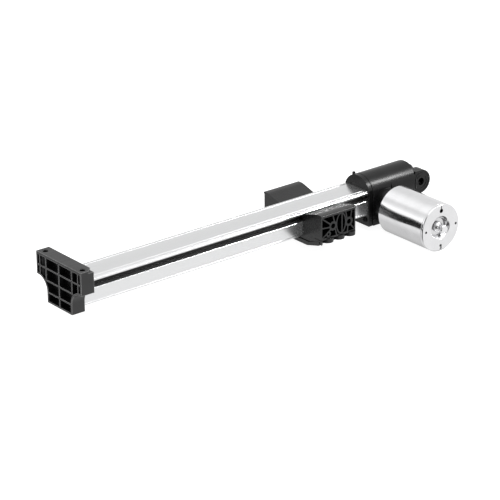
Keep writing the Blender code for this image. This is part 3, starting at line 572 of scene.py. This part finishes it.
def make_materials():
    """One procedural material for each of the record's slots."""
    # tone, roughness and, where the defaults don't suit, painted edge highlight and specular level
    plastics = {
        "bracket_plastic": ((0.006, 0.006, 0.0063), 0.34, 0.22, 0.6),
        "gearbox_plastic": ((0.004, 0.004, 0.0042), 0.3, 0.02, 0.3),
        "slider_plastic": ((0.005, 0.005, 0.0053), 0.28, 0.02, 0.5),
        "cover_plastic": ((0.01, 0.01, 0.0105), 0.4),
        "glide_polymer": ((0.02, 0.02, 0.02), 0.5),
        "switch_black": ((0.02, 0.02, 0.02), 0.45),
        "nut_polymer": ((0.62, 0.59, 0.52), 0.42),
        "gear_polymer": ((0.72, 0.69, 0.62), 0.4),
        "holder_plastic": ((0.1, 0.08, 0.06), 0.5),
        "brush_carbon": ((0.03, 0.03, 0.03), 0.6),
        "magnet_ferrite": ((0.05, 0.05, 0.055), 0.55),
        "board_green": ((0.02, 0.12, 0.05), 0.35)}
    for name, look in plastics.items():
        skins[name] = moulded_plastic(name, *look)
    metals = {
        "bush_bronze": ((0.6, 0.4, 0.2), 0.34),
        "screw_zinc": ((0.68, 0.69, 0.7), 0.26),
        "screw_black": ((0.03, 0.03, 0.031), 0.4),
        "bearing_steel": ((0.7, 0.7, 0.72), 0.2),
        "plate_steel": ((0.55, 0.55, 0.57), 0.32),
        "screw_steel": ((0.6, 0.61, 0.63), 0.24),
        "shaft_steel": ((0.64, 0.65, 0.67), 0.2),
        "copper": ((0.75, 0.4, 0.24), 0.28),
        "armature_iron": ((0.32, 0.3, 0.29), 0.42)}
    for name, (tone, rough) in metals.items():
        skins[name] = worked_metal(name, tone, rough)
    skins["rail_aluminium"] = drawn_aluminium("rail_aluminium", (0.83, 0.835, 0.84), 0.24)
    skins["motor_nickel"] = ring_metal("motor_nickel", (0.88, 0.88, 0.89), 0.15, ROTOR, 0.5, 0.004)
    skins["cap_chrome"] = ring_metal("cap_chrome", (0.9, 0.9, 0.91), 0.06, ROTOR, 0.3, 0.002)


# ---------------------------------------------------------------- rail

def rail_section():
    """Right half first, from the top middle clockwise: rounded lips, score lines, groove, box, slot."""
    half = RAIL_HALF
    wall = 1.5
    lip_round = 0.5
    lip_steps = 6
    groove_round = 0.4
    box_round = 0.5
    score_depth = 0.45
    line_half = 0.25
    neck_outer = 8.9
    neck_inner = neck_outer - wall
    slot_half = 9.0
    high_line = (RAIL_TOP + GROOVE_TOP) / 2 + 0.3
    low_line = RAIL_BOTTOM + 2.0
    score_floor = RAIL_TOP - score_depth
    right = [(12.4, RAIL_TOP), (12.7, score_floor), (13.2, score_floor), (13.5, RAIL_TOP)]
    right += arc((half - lip_round, RAIL_TOP - lip_round), lip_round, 90.0, 0.0, lip_steps)
    right += [(half, high_line + line_half), (half - 0.22, high_line), (half, high_line - line_half)]
    right += arc((half - groove_round, GROOVE_TOP + groove_round), groove_round, 0.0, -90.0, 3)
    right += [(neck_outer, GROOVE_TOP), (neck_outer, GROOVE_FLOOR)]
    right += arc((half - box_round, GROOVE_FLOOR - box_round), box_round, 90.0, 0.0, 3)
    right += [(half, low_line + line_half), (half - 0.2, low_line), (half, low_line - line_half)]
    right += arc((half - lip_round, RAIL_BOTTOM + lip_round), lip_round, 0.0, -90.0, lip_steps)
    right += [(slot_half + 0.3, RAIL_BOTTOM), (slot_half, RAIL_BOTTOM + 0.3)]
    right += [(slot_half, RAIL_BOTTOM + wall), (half - wall, RAIL_BOTTOM + wall)]
    right += [(half - wall, GROOVE_FLOOR - wall), (neck_inner, GROOVE_FLOOR - wall)]
    right += [(neck_inner, RAIL_TOP - wall)]
    return mirrored(right)


def make_rail():
    item = prism(rail_section(), "X", RAIL_LOW.x, RAIL_HIGH.x)
    finish_piece("rail_profile", item, "rail_aluminium", "frame", ["rail"], edge=0.0, sharp=10.0)


def make_glides():
    """L-shaped liners with a rounded lip, one in each groove."""
    wall = 0.9
    lip = 0.8
    for side, node_name in ((1, "glide_strip_left"), (-1, "glide_strip_right")):
        low, high = box_mm(node_name)
        inner = min(abs(low.y), abs(high.y))
        outer = max(abs(low.y), abs(high.y))
        outline = [(inner, low.z), (inner + wall, low.z), (inner + wall, high.z - lip),
                   (outer, high.z - lip), (outer, high.z), (inner, high.z)]
        outline = rounded([(side * a, b) for a, b in outline], 0.3, 3)
        item = prism(outline, "X", low.x, high.x)
        finish_piece("glide_liner_" + node_name.split("_")[-1], item, "glide_polymer", "frame",
                     [node_name], edge=0.0)


# ---------------------------------------------------------------- front bracket

EAR_Z = -23.3
LOW_HALF = 20.0
FILLET = 14.0
RIM = 1.7
HOLE_X = -1.0
HOLE_Y = 30.0
HOLE_R = 2.75
BOSS_R = 4.7
STEP_R = 6.4
STEP_DEPTH = 2.3
POCKET_FLOOR = -0.4


def bracket_outline(inset=0.0, steps=14):
    """The T shape with concave quarter rounds under its ears."""
    half = BRACKET_HIGH.y - inset
    centre = (LOW_HALF + FILLET, EAR_Z - FILLET)
    right = [(half, -1.6 * inset), (half, EAR_Z + inset)]
    right += arc(centre, FILLET + inset, 90.0, 180.0, steps)
    right += [(LOW_HALF - inset, BRACKET_LOW.z + inset)]
    return mirrored(right)


def bracket_pocket():
    """The waffle's cells: the inset outline, less the ribs and the bosses round the screw holes."""
    front = BRACKET_LOW.x - 1.0
    upright_half = 0.8
    level_half = 0.75
    pocket = prism(bracket_outline(RIM), "X", front, POCKET_FLOOR)
    for y, low in ((0.0, -60.0), (21.0, -26.0), (-21.0, -26.0)):
        cut(pocket, block((front - 1.0, y - upright_half, low), (1.0, y + upright_half, 1.0)))
    for z, half in ((-13.2, 40.0), (-25.6, 22.2), (-37.4, 40.0)):
        cut(pocket, block((front - 1.0, -half, z - level_half), (1.0, half, z + level_half)))
    for side in (-1, 1):
        near, far = sorted((side * 31.4, side * 30.2))
        cut(pocket, block((front - 1.0, near, -40.0), (1.0, far, 1.0)))
        cut(pocket, rod(BOSS_R, "Z", (HOLE_X, side * HOLE_Y), -32.0, 5.0, 40))
    return settle(pocket)


def make_bracket():
    """Ribbed plate with a socket for the rail, countersunk holes, and a step on its near ear."""
    back = BRACKET_HIGH.x
    item = prism(bracket_outline(), "X", BRACKET_LOW.x, back)
    cut(item, bracket_pocket())
    cut(item, prism(rail_opening(), "X", RAIL_LOW.x - GAP, back + 1.0))
    sink = [(-0.9, 0.0), (-0.9, 2.0), (0.1, 3.7), (2.0, 3.7), (2.0, 0.0)]
    for side in (-1, 1):
        cut(item, rod(HOLE_R, "Z", (HOLE_X, side * HOLE_Y), -32.0, 5.0, 40))
        cut(item, turned(sink, "Z", (HOLE_X, side * HOLE_Y), 40))
    rim = arc((HOLE_X, HOLE_Y), STEP_R, 0.0, 68.0, 12)
    step = rim + [(rim[-1][0], 40.0), (12.0, 40.0), (12.0, HOLE_Y)]
    cut(item, prism([(a, -b) for a, b in step], "Z", -STEP_DEPTH, 3.0))
    finish_piece("bracket_casting", item, "bracket_plastic", "frame", ["front_bracket"], edge=0.35)


# ---------------------------------------------------------------- slider

# in X from the slider's front and Z from the rail's centre: place, boss radius, bore radius, steps
WING_BOSSES = (((15.9, 2.0), 4.9, 2.7, 32), ((36.7, 1.6), 4.9, 2.7, 32), ((10.0, -5.4), 2.9, 1.3, 24))
OVAL_CENTRE = (26.4, 2.5)
OVAL_HALF = (6.6, 11.2)
RIB_WIDTH = 1.3
RECESS_WALL = 1.6
LOBE_R = 6.4
LOBE_PITCH = 14.4
LOBE_Y = 40.2
NUT_FOOT_X = (285.2, 315.8)
NUT_FOOT_HALF = 8.8


def wing_points():
    """Half of the slider's section, from the bottom middle round the wing to the rail: y, z, round."""
    clear = RAIL_HALF + 0.5
    bottom = SLIDER_LOW.z
    top = SLIDER_HIGH.z
    return [
        (24.4, bottom, 3.0), (38.6, RAIL_Z - 16.6, 0.8), (40.2, RAIL_Z - 15.4, 0.8),
        (40.2, RAIL_Z - 10.9, 0.3), (44.3, RAIL_Z - 10.7, 0.4), (44.3, RAIL_Z + 14.0, 0.2),
        (45.3, RAIL_Z + 14.3, 0.3), (45.3, RAIL_Z + 15.4, 0.8), (44.2, top, 0.5), (38.0, top, 2.5),
        (18.3, RAIL_Z + 10.6, 0.4), (clear, RAIL_Z + 10.2, 0.2), (clear, RAIL_Z + 7.7, 0.2),
        (10.4, RAIL_Z + 7.7, 0.3), (10.4, GROOVE_FLOOR + 0.5, 0.3), (clear, GROOVE_FLOOR + 0.5, 0.2),
        (clear, RAIL_BOTTOM - 0.5, 0.6)]


def slider_outline():
    points = wing_points()
    radii = [radius for _, _, radius in points]
    return rounded(mirrored([(a, b) for a, b, _ in points]), radii + radii[::-1], 4)


def rib_outlines():
    """The lattice in each side recess: bosses, then straight ribs."""
    lines = [
        ((0.0, 14.0), (12.6, 4.4)), ((0.0, 2.6), (11.6, 1.6)), ((0.0, -9.6), (12.6, -1.2)),
        ((27.6, -10.0), (27.6, 15.0)), ((17.6, 6.0), (15.2, 15.0)), ((34.0, 5.4), (32.0, 15.0)),
        ((39.0, 5.4), (40.6, 15.0)), ((38.8, -2.2), (45.0, -9.4)), ((35.4, -2.6), (34.4, -10.0)),
        ((18.6, -2.0), (21.0, -10.0))]
    bosses = [circle(centre, boss_r, steps) for centre, boss_r, _, steps in WING_BOSSES]
    return bosses + [bar(a, b, RIB_WIDTH) for a, b in lines]


def oval(inset, steps=48):
    points = []
    for i in range(steps):
        angle = 2 * math.pi * i / steps
        points.append((OVAL_CENTRE[0] + (OVAL_HALF[0] - inset) * math.cos(angle),
                       OVAL_CENTRE[1] + (OVAL_HALF[1] - inset) * math.sin(angle)))
    return points


def on_slider(points):
    return [(SLIDER_FRONT + a, RAIL_Z + b) for a, b in points]


def add_lobes(item, side):
    """Scallops along the lower flange; the first is cut short at the slider's front."""
    for i in range(4):
        centre = (SLIDER_FRONT - 2.6 + LOBE_PITCH * i, side * LOBE_Y)
        lobe = prism(circle(centre, LOBE_R, 40), "Z", RAIL_Z - 14.4, RAIL_Z - 10.2)
        if i == 0:
            cut(lobe, block((SLIDER_FRONT - 20.0, -60.0, -60.0), (SLIDER_FRONT - 0.6, 60.0, 0.0)))
            settle(lobe)
        join(item, lobe)


def cut_recess(item, side):
    """The recess in a wing's side, with its lattice left standing, and the bores in the bosses."""
    near, far = sorted((side * 34.0, side * 50.0))
    recess = block((SLIDER_FRONT + RECESS_WALL, near, RAIL_Z - 8.6),
                   (SLIDER_REAR - RECESS_WALL, far, RAIL_Z + 12.9))
    for points in rib_outlines():
        cut(recess, prism(on_slider(points), "Y", -60.0, 60.0))
    ring = prism(on_slider(oval(0.0)), "Y", -60.0, 60.0)
    cut(ring, prism(on_slider(oval(RIB_WIDTH)), "Y", -61.0, 61.0))
    cut(recess, ring)
    cut(item, recess)
    for (x, z), _, bore_r, _ in WING_BOSSES:
        low, high = sorted((side * 36.0, side * 50.0))
        cut(item, rod(bore_r, "Y", (SLIDER_FRONT + x, RAIL_Z + z), low, high, 28))


def make_slider():
    """Winged carriage with a front lip, scalloped flanges, latticed recesses and a seat for the nut."""
    bottom = SLIDER_LOW.z
    item = prism(slider_outline(), "X", SLIDER_FRONT, SLIDER_REAR)
    base = [(24.4, bottom), (42.8, RAIL_Z - 15.5), (42.8, RAIL_Z - 11.6), (26.0, RAIL_Z - 16.4)]
    join(item, prism(rounded(mirrored(base), 0.8, 3), "X", SLIDER_LOW.x, SLIDER_FRONT + 2.0))
    for side in (-1, 1):
        add_lobes(item, side)
        cut_recess(item, side)
    foot_low, foot_high = NUT_FOOT_X
    cut(item, block((foot_low, -NUT_FOOT_HALF, bottom + 3.6), (foot_high, NUT_FOOT_HALF, RAIL_Z)))
    seat = bottom + 1.8
    hole = [(-60.0, 0.0), (-60.0, 3.6), (seat, 3.6), (seat, 1.9), (-40.0, 1.9), (-40.0, 0.0)]
    for x in NUT_SCREWS:
        cut(item, turned(hole, "Z", (x, 0.0), 28))
    finish_piece("slider_moulding", item, "slider_plastic", "slider", ["slider_block"], edge=0.28)


# ---------------------------------------------------------------- gearbox

GEARBOX_FRONT = 360.0  # where cutters start, ahead of the gearbox
BARREL_R = 19.9
BARREL_END = 431.1
BARREL_ROUND = 3.0
HEEL_R = 14.0
NECK_R = 19.0


def arch(radius, half, bottom, steps=48):
    """A half round over straight sides, clipped to a half width, without doubled points."""
    points = arc((0.0, SCREW_Z), radius, 0.0, 180.0, steps)
    points = [(max(-half, min(half, a)), b) for a, b in points]
    kept = []
    for point in points:
        if not kept or (Vector(point) - Vector(kept[-1])).length > 0.01:
            kept.append(point)
    return kept + [(-half, bottom), (half, bottom)]


def make_collar():
    """Arched plate with a nub on top, a window for the rail and two screw holes."""
    front = COLLAR_LOW.x
    item = prism(arch(19.7, 18.6, COLLAR_LOW.z), "X", front, COLLAR_HIGH.x)
    nub = rounded(rectangle((7.0, SCREW_Z + 18.65), 1.3, 2.65), 0.5, 3)
    join(item, prism(nub, "X", front + 0.3, front + 2.6))
    cut(item, prism(rail_opening(), "X", GEARBOX_FRONT, 372.0))
    for y, z in COLLAR_SCREWS:
        cut(item, rod(1.7, "X", (y, z), GEARBOX_FRONT, 375.0, 24))
    finish_piece("gearbox_collar", item, "gearbox_plastic", "frame", ["front_collar"], edge=0.7,
                 segments=3)


def housing_body():
    """The barrel and, under it, the worm block, with the motor's neck on its near side."""
    back = HOUSING_COLLAR
    bottom = COLLAR_LOW.z
    rear = MOTOR_X + 22.0
    chamfer = 0.5
    barrel = [(back, 0.0), (back, BARREL_R - chamfer), (back + chamfer, BARREL_R)]
    barrel += [(BARREL_END - BARREL_ROUND + a, b)
               for a, b in arc((0.0, BARREL_R - BARREL_ROUND), BARREL_ROUND, 90.0, 0.0, 8)]
    barrel += [(BARREL_END, 0.0)]
    item = turned(barrel, "X", (0.0, SCREW_Z), 96)
    outline = [(back, SCREW_Z), (back, bottom + chamfer), (back + chamfer, bottom)]
    outline += arc((rear - HEEL_R, bottom + HEEL_R), HEEL_R, 270.0, 360.0, 14)
    outline += [(rear, SCREW_Z)]
    join(item, prism(outline, "Y", -19.4, 19.4))
    join(item, rod(NECK_R, "Y", (MOTOR_X, MOTOR_Z), CAN_MOUTH + GAP, -11.0, 96))
    return item


def add_fork(item):
    """Two rounded ears with a pin hole, and two shallow rings cut round it on each outer face."""
    pin = (FORK_X, SCREW_Z)
    ear = [(FORK_START, SCREW_Z - FORK_R)]
    ear += arc(pin, FORK_R, -90.0, 90.0, 40)
    ear += [(FORK_START, SCREW_Z + FORK_R)]
    join(item, prism(ear, "Y", -17.8, 17.8))
    cut(item, block((425.0, -6.8, SCREW_Z - FORK_R - 1.0), (460.0, 6.8, SCREW_Z + FORK_R + 1.0)))
    cut(item, rod(4.1, "Y", pin, -30.0, 30.0, 48))
    for side in (-1, 1):
        inner, outer = sorted((side * 17.3, side * 20.0))
        for low, high in ((6.6, 7.6), (9.6, 10.6)):
            cut(item, turned([(inner, low), (inner, high), (outer, high), (outer, low)], "Y", pin, 48))


def make_housing():
    """Barrel, worm block, neck and fork in one moulding, bored for the rail, gears and screws."""
    item = housing_body()
    add_fork(item)
    cut(item, prism(rail_opening(), "X", GEARBOX_FRONT, RAIL_HIGH.x + 0.5))
    bore = [(GEARBOX_FRONT, 0.0), (GEARBOX_FRONT, 11.5), (396.0, 11.5), (396.0, 8.3), (404.0, 8.3),
            (404.0, 4.2), (407.5, 4.2), (407.5, 0.0)]
    cut(item, turned(bore, "X", (0.0, SCREW_Z), 48))
    cut(item, block((393.8, -30.0, SCREW_Z - 4.0), (395.1, -17.6, SCREW_Z + 10.5)))
    for y, z in COLLAR_SCREWS:
        cut(item, rod(PILOT_R, "X", (y, z), GEARBOX_FRONT, 380.0, 20))
    for x, z in COVER_SCREWS:
        cut(item, rod(PILOT_R, "Y", (x, z), 12.0, 30.0, 20))
    cut(item, rod(6.2, "Y", (MOTOR_X, MOTOR_Z), CAN_MOUTH + GAP - 3.0, 15.5, 48))
    finish_piece("gearbox_moulding", item, "gearbox_plastic", "frame", ["gear_housing"], edge=0.3)


def soft_box(corners, radius, steps):
    """An outline round the motor's axis, with an arc at each corner, anticlockwise from the top right."""
    outline = []
    for quarter, (x, z) in enumerate(corners):
        start = 90.0 * quarter
        outline += arc((MOTOR_X + x, MOTOR_Z + z), radius, start, start + 90.0, steps)
    return outline


def make_cover():
    """Cover with a rounded outline, a raised middle panel and four plain screw holes."""
    outline = soft_box(((8.5, 4.2), (-8.5, 4.2), (-8.5, -8.5), (8.5, -8.5)), 4.4, 10)
    inner = soft_box(((3.6, 3.6), (-3.6, 3.6), (-3.6, -7.6), (3.6, -7.6)), 1.2, 6)
    item = prism(outline, "Y", COVER_LOW.y, COVER_HIGH.y - 0.5)
    join(item, prism(inner, "Y", COVER_LOW.y + 0.5, COVER_HIGH.y))
    for x, z in COVER_SCREWS:
        cut(item, rod(1.5, "Y", (x, z), 10.0, 30.0, 24))
    finish_piece("tunnel_cover", item, "cover_plastic", "frame", ["worm_cover"], edge=0.35, segments=3)


def fine_screw(name, node_name, axis, centre, shank, slot_name, body):
    """Pan-head screw with a cross recess. shank is (far end, seat, head top, shank radius, head radius)."""
    far, seat, top, thin, wide = shank
    rise = top - seat
    profile = [(far, 0.0), (far, thin), (seat, thin), (seat, wide)]
    profile += [(seat + rise * 0.35, wide), (seat + rise * 0.7, wide * 0.9)]
    profile += [(seat + rise * 0.93, wide * 0.65), (top, wide * 0.3), (top, 0.0)]
    item = turned(profile, axis, centre, 36)
    depth = top - rise * 0.6
    low, high = sorted((depth, top + rise))
    long_arm = wide * 0.62
    thin_arm = wide * 0.13
    for a, b in ((long_arm, thin_arm), (thin_arm, long_arm)):
        cut(item, prism(rectangle(centre, a, b), axis, low, high))
    finish_piece(name, item, slot_name, body, [node_name], edge=0.06)


def make_screws():
    for i, (y, z) in enumerate(COLLAR_SCREWS):
        low, high = box_mm(f"collar_screw_{i + 1}")
        fine_screw(f"collar_fixing_{i + 1}", f"collar_screw_{i + 1}", "X", (y, z),
                   (high.x, COLLAR_LOW.x - GAP, low.x, 1.0, 2.8), "screw_black", "frame")
    for i, (x, z) in enumerate(COVER_SCREWS):
        low, high = box_mm(f"cover_screw_{i + 1}")
        fine_screw(f"cover_fixing_{i + 1}", f"cover_screw_{i + 1}", "Y", (x, z),
                   (low.y, high.y - 1.4, high.y, 1.0, 2.4), "screw_zinc", "frame")
    for i, x in enumerate(NUT_SCREWS):
        low, high = box_mm(f"nut_screw_{i + 1}")
        fine_screw(f"nut_fixing_{i + 1}", f"nut_screw_{i + 1}", "Z", (x, 0.0),
                   (high.z, low.z + 1.3, low.z, 1.4, 3.2), "screw_zinc", "slider")


# ---------------------------------------------------------------- motor

def make_can():
    """Drawn can: a groove near its end, a rounded rim, a dished well, and four marks in its end."""
    start = CAN_MOUTH
    end = CAN_LOW.y
    radius = (CAN_HIGH.x - CAN_LOW.x) / 2
    centre = (MOTOR_X, MOTOR_Z)
    inner = radius - 1.4
    profile = [(start, inner), (start, radius), (end + 3.4, radius), (end + 3.1, radius - 0.4),
               (end + 2.6, radius - 0.4), (end + 2.2, radius)]
    profile += arc((end + 1.6, radius - 1.6), 1.6, 90.0, 180.0, 8)[1:]
    profile += [(end, 13.6), (end + 0.15, 13.1), (end + 0.7, 12.3), (end + 1.4, 11.7), (end + 3.4, 10.4),
                (end + 5.6, 9.6), (end + 6.5, 9.0), (end + 6.8, 8.2), (end + 6.8, 2.6), (end + 8.2, 2.6),
                (end + 8.2, 9.6), (end + 1.8, 14.4), (end + 1.8, inner)]
    item = turned(profile, "Y", centre, 128)
    outside = end - 2.0
    marks = ((90, 2.2, 18.4), (270, 1.5, 19.0), (180, 1.3, 20.2), (0, 1.3, 20.2))
    for angle, hole, reach in marks:
        x = MOTOR_X + reach * math.cos(math.radians(angle))
        z = MOTOR_Z + reach * math.sin(math.radians(angle))
        cut(item, rod(hole, "Y", (x, z), outside, end + 4.0, 28))
    for half, low, high, depth in ((0.8, 19.0, 23.6, 0.7), (1.5, -22.0, -19.0, 0.9)):
        cut(item, block((MOTOR_X - half, outside, MOTOR_Z + low),
                        (MOTOR_X + half, end + depth, MOTOR_Z + high)))
    cut(item, rod(1.5, "Y", (MOTOR_X, MOTOR_Z - 22.0), outside, end + 0.9, 28))
    finish_piece("motor_can_drawn", item, "motor_nickel", "frame", ["motor_can"], edge=0.15)


def make_cap():
    """Stepped bright cap: broad base, waist, round head."""
    tip = CAP_LOW.y
    base = CAP_HIGH.y
    profile = [(base, 0.0), (base, 4.6)]
    profile += [(base - 0.2, 5.0), (base - 0.7, 5.2), (base - 2.4, 5.2), (base - 3.0, 4.9), (base - 3.6, 4.1),
                (base - 4.6, 3.2), (base - 5.6, 2.9), (base - 6.6, 3.0), (base - 7.4, 3.5), (base - 8.0, 4.1),
                (base - 8.6, 4.2)]
    profile += [(tip + 1.6 - 1.6 * math.sin(t), 2.6 + 1.6 * math.cos(t))
                for t in (0.0, 0.3, 0.6, 0.9, 1.2, math.pi / 2)]
    profile += [(tip, 0.0)]
    item = turned(profile, "Y", (MOTOR_X, MOTOR_Z), 64)
    finish_piece("shaft_cap", item, "cap_chrome", "frame", ["rear_bearing_cap"], edge=0.0)


# ---------------------------------------------------------------- lead screw

def make_spindle():
    """Rolled thread with rounded crests, and plain journals at both ends."""
    low, high = box_mm("lead_screw")
    crest = high.y
    root = crest - 0.9
    pitch = 8.0
    steps = 28
    thread_low = low.x + 9.0
    thread_high = high.x - 43.0
    stations = ((-2.7, root), (-1.75, root + 0.55), (-1.2, crest - 0.05), (0.0, crest),
                (1.2, crest - 0.05), (1.75, root + 0.55), (2.7, root))
    bm = bmesh.new()
    rows = []
    for turn in range(math.floor(thread_low / pitch) - 2, math.ceil(thread_high / pitch) + 2):
        for offset, radius in stations:
            row = []
            for i in range(steps):
                angle = 2 * math.pi * i / steps
                along = pitch * (turn + i / steps) + offset
                place = (radius * math.cos(angle) * MM, radius * math.sin(angle) * MM, along * MM)
                row.append(bm.verts.new(place))
            rows.append(row)
    lap = len(stations)
    for k in range(len(rows) - 1):
        for i in range(steps - 1):
            bm.faces.new((rows[k][i], rows[k][i + 1], rows[k + 1][i + 1], rows[k + 1][i]))
        if k + lap + 1 < len(rows):
            bm.faces.new((rows[k + lap][0], rows[k + lap + 1][0], rows[k + 1][-1], rows[k][-1]))
    for along, outward in ((thread_low, -1), (thread_high, 1)):
        everything = list(bm.verts) + list(bm.edges) + list(bm.faces)
        bmesh.ops.bisect_plane(bm, geom=everything, dist=1e-8, plane_co=(0, 0, along * MM),
                               plane_no=(0, 0, outward), clear_outer=True)
    bmesh.ops.holes_fill(bm, edges=[e for e in bm.edges if e.is_boundary])
    item = stand(mesh_object(bm), "X", 0.0, SCREW_Z, 0.0)
    centre = (0.0, SCREW_Z)
    nose = [(low.x, 0.0), (low.x, 2.1), (low.x + 0.4, 2.5), (14.0, 2.5), (14.0, 0.0)]
    join(item, turned(nose, "X", centre, 32))
    rear = [(thread_high - 2.0, 0.0), (thread_high - 2.0, 3.0), (364.0, 3.0), (364.0, 3.5)]
    rear += [(high.x - 0.5, 3.5), (high.x, 3.0), (high.x, 0.0)]
    join(item, turned(rear, "X", centre, 32))
    finish_piece("spindle_thread", item, "screw_steel", "spindle", ["lead_screw"], edge=0.0)


# ---------------------------------------------------------------- studio and camera

DIFFUSE_LIGHT = (0.9, 0.9, 0.9)
SENSOR = 36.0
LENS = 184.15
DISTANCE = 2543.35


def make_camera():
    """A long lens, a little to the left of the front and above."""
    azimuth = math.radians(-38.88)
    elevation = math.radians(22.75)
    roll = math.radians(-0.41)
    target = Vector((223.1, 0.0, -50.0))
    back = Vector((math.sin(azimuth) * math.cos(elevation), -math.cos(azimuth) * math.cos(elevation),
                   math.sin(elevation)))
    right = Vector((math.cos(azimuth), math.sin(azimuth), 0.0))
    up = back.cross(right)
    turned_right = right * math.cos(roll) + up * math.sin(roll)
    turned_up = up * math.cos(roll) - right * math.sin(roll)
    lens = bpy.data.cameras.new("camera")
    lens.lens = LENS
    lens.sensor_width = SENSOR
    lens.clip_end = 100.0
    camera = bpy.data.objects.new("camera", lens)
    bpy.context.scene.collection.objects.link(camera)
    axes = Matrix((turned_right, turned_up, back)).transposed().to_4x4()
    camera.matrix_world = Matrix.Translation((target + back * DISTANCE) * MM) @ axes
    bpy.context.scene.camera = camera


def make_floor():
    """A broad pale sweep under the object."""
    bm = bmesh.new()
    bmesh.ops.create_grid(bm, x_segments=1, y_segments=1, size=12.0)
    mesh = bpy.data.meshes.new("floor")
    bm.to_mesh(mesh)
    bm.free()
    floor = bpy.data.objects.new("floor", mesh)
    floor.location.z = cad_low.z
    bpy.context.scene.collection.objects.link(floor)
    paint, _, shader = new_material("floor_white")
    shader.inputs["Base Color"].default_value = (0.5, 0.5, 0.5, 1.0)
    shader.inputs["Roughness"].default_value = 0.9
    shader.inputs["Specular IOR Level"].default_value = 0.0
    shader.inputs["Emission Color"].default_value = (1.0, 1.0, 1.0, 1.0)
    shader.inputs["Emission Strength"].default_value = 0.9
    mesh.materials.append(paint)
    floor.visible_glossy = False


def make_world():
    """Even light on matt surfaces, and bands of light and dark for bright metal to mirror."""
    world = bpy.data.worlds.new("studio")
    bpy.context.scene.world = world
    world.use_nodes = True
    tree = world.node_tree
    tree.nodes.clear()
    out = tree.nodes.new("ShaderNodeOutputWorld")
    shade = tree.nodes.new("ShaderNodeBackground")
    tree.links.new(shade.outputs[0], out.inputs[0])
    where = tree.nodes.new("ShaderNodeTexCoord")
    split = tree.nodes.new("ShaderNodeSeparateXYZ")
    tree.links.new(where.outputs["Generated"], split.inputs[0])
    swing = arithmetic(tree, "ARCTAN2", split.outputs["Z"], split.outputs["X"])
    turn = spread(tree, swing, 0.0, 1.0, -math.pi, math.pi)
    ramp = tree.nodes.new("ShaderNodeValToRGB")
    ramp.color_ramp.interpolation = "LINEAR"
    # angle round the Y axis and brightness, of what lies behind the object
    stops = (
        (-180.0, 0.04), (-170.0, 0.04), (-162.0, 0.95), (-150.0, 0.85), (-130.0, 0.66), (-90.0, 0.62),
        (-45.0, 0.42), (-20.0, 0.95), (10.0, 0.85), (34.0, 0.8), (60.0, 0.82), (90.0, 1.1), (108.0, 1.12),
        (124.0, 0.8), (138.0, 0.9), (152.0, 1.35), (162.0, 1.1), (169.0, 0.04), (179.9, 0.04))
    points = ramp.color_ramp.elements
    while len(points) < len(stops):
        points.new(0.5)
    for point, (degrees, _) in zip(points, stops):
        point.position = (degrees + 180.0) / 360.0
    for point, (_, level) in zip(points, stops):
        point.color = (level, level, level, 1.0)
    tree.links.new(turn, ramp.inputs[0])
    behind = spread(tree, split.outputs["Y"], 0.0, 1.0, 0.15, 0.55, smooth=True)
    front = spread(tree, split.outputs["X"], 0.06, 0.93, -0.75, -0.35, smooth=True)
    panels = blend(tree, behind, front, ramp.outputs["Color"])
    path = tree.nodes.new("ShaderNodeLightPath")
    light = blend(tree, path.outputs["Is Glossy Ray"], DIFFUSE_LIGHT, panels)
    tree.links.new(light, shade.inputs["Color"])
    shade.inputs["Strength"].default_value = 1.0


def panel(name, place, aim, size, power):
    """A soft rectangular light that faces a point."""
    light = bpy.data.lights.new(name, "AREA")
    light.shape = "RECTANGLE"
    light.size = size[0]
    light.size_y = size[1]
    light.energy = power
    lamp = bpy.data.objects.new(name, light)
    lamp.location = place
    lamp.rotation_euler = (Vector(aim) - lamp.location).to_track_quat("-Z", "Y").to_euler()
    bpy.context.scene.collection.objects.link(lamp)


def make_lights():
    """A broad key above the front, a small overhead for the barrel's highlight, and a left fill."""
    panel("key", (0.1, -0.7, 1.5), (0.25, 0.0, 0.0), (1.6, 1.0), 4.0)
    panel("overhead", (1.33, -0.75, 1.07), (0.4, 0.0, 0.0), (0.25, 0.4), 12.0)
    panel("left", (-1.3, -0.5, 0.25), (0.0, 0.0, -0.03), (0.8, 0.8), 2.5)


def dress_nodes():
    """Give every CAD node its slot's material, in place of the flat one."""
    slots = {entry["node"]: entry["material_slot"] for entry in frame["record"]["subparts"]}
    for name, item in frame["nodes"].items():
        item.data.materials.clear()
        item.data.materials.append(skins[slots[name]])


def main():
    make_materials()
    dress_nodes()
    make_rail()
    make_glides()
    make_bracket()
    make_slider()
    make_collar()
    make_housing()
    make_cover()
    make_screws()
    make_can()
    make_cap()
    make_spindle()
    make_camera()
    make_floor()
    make_world()
    make_lights()
    bpy.context.scene.view_settings.view_transform = "Standard"


main()
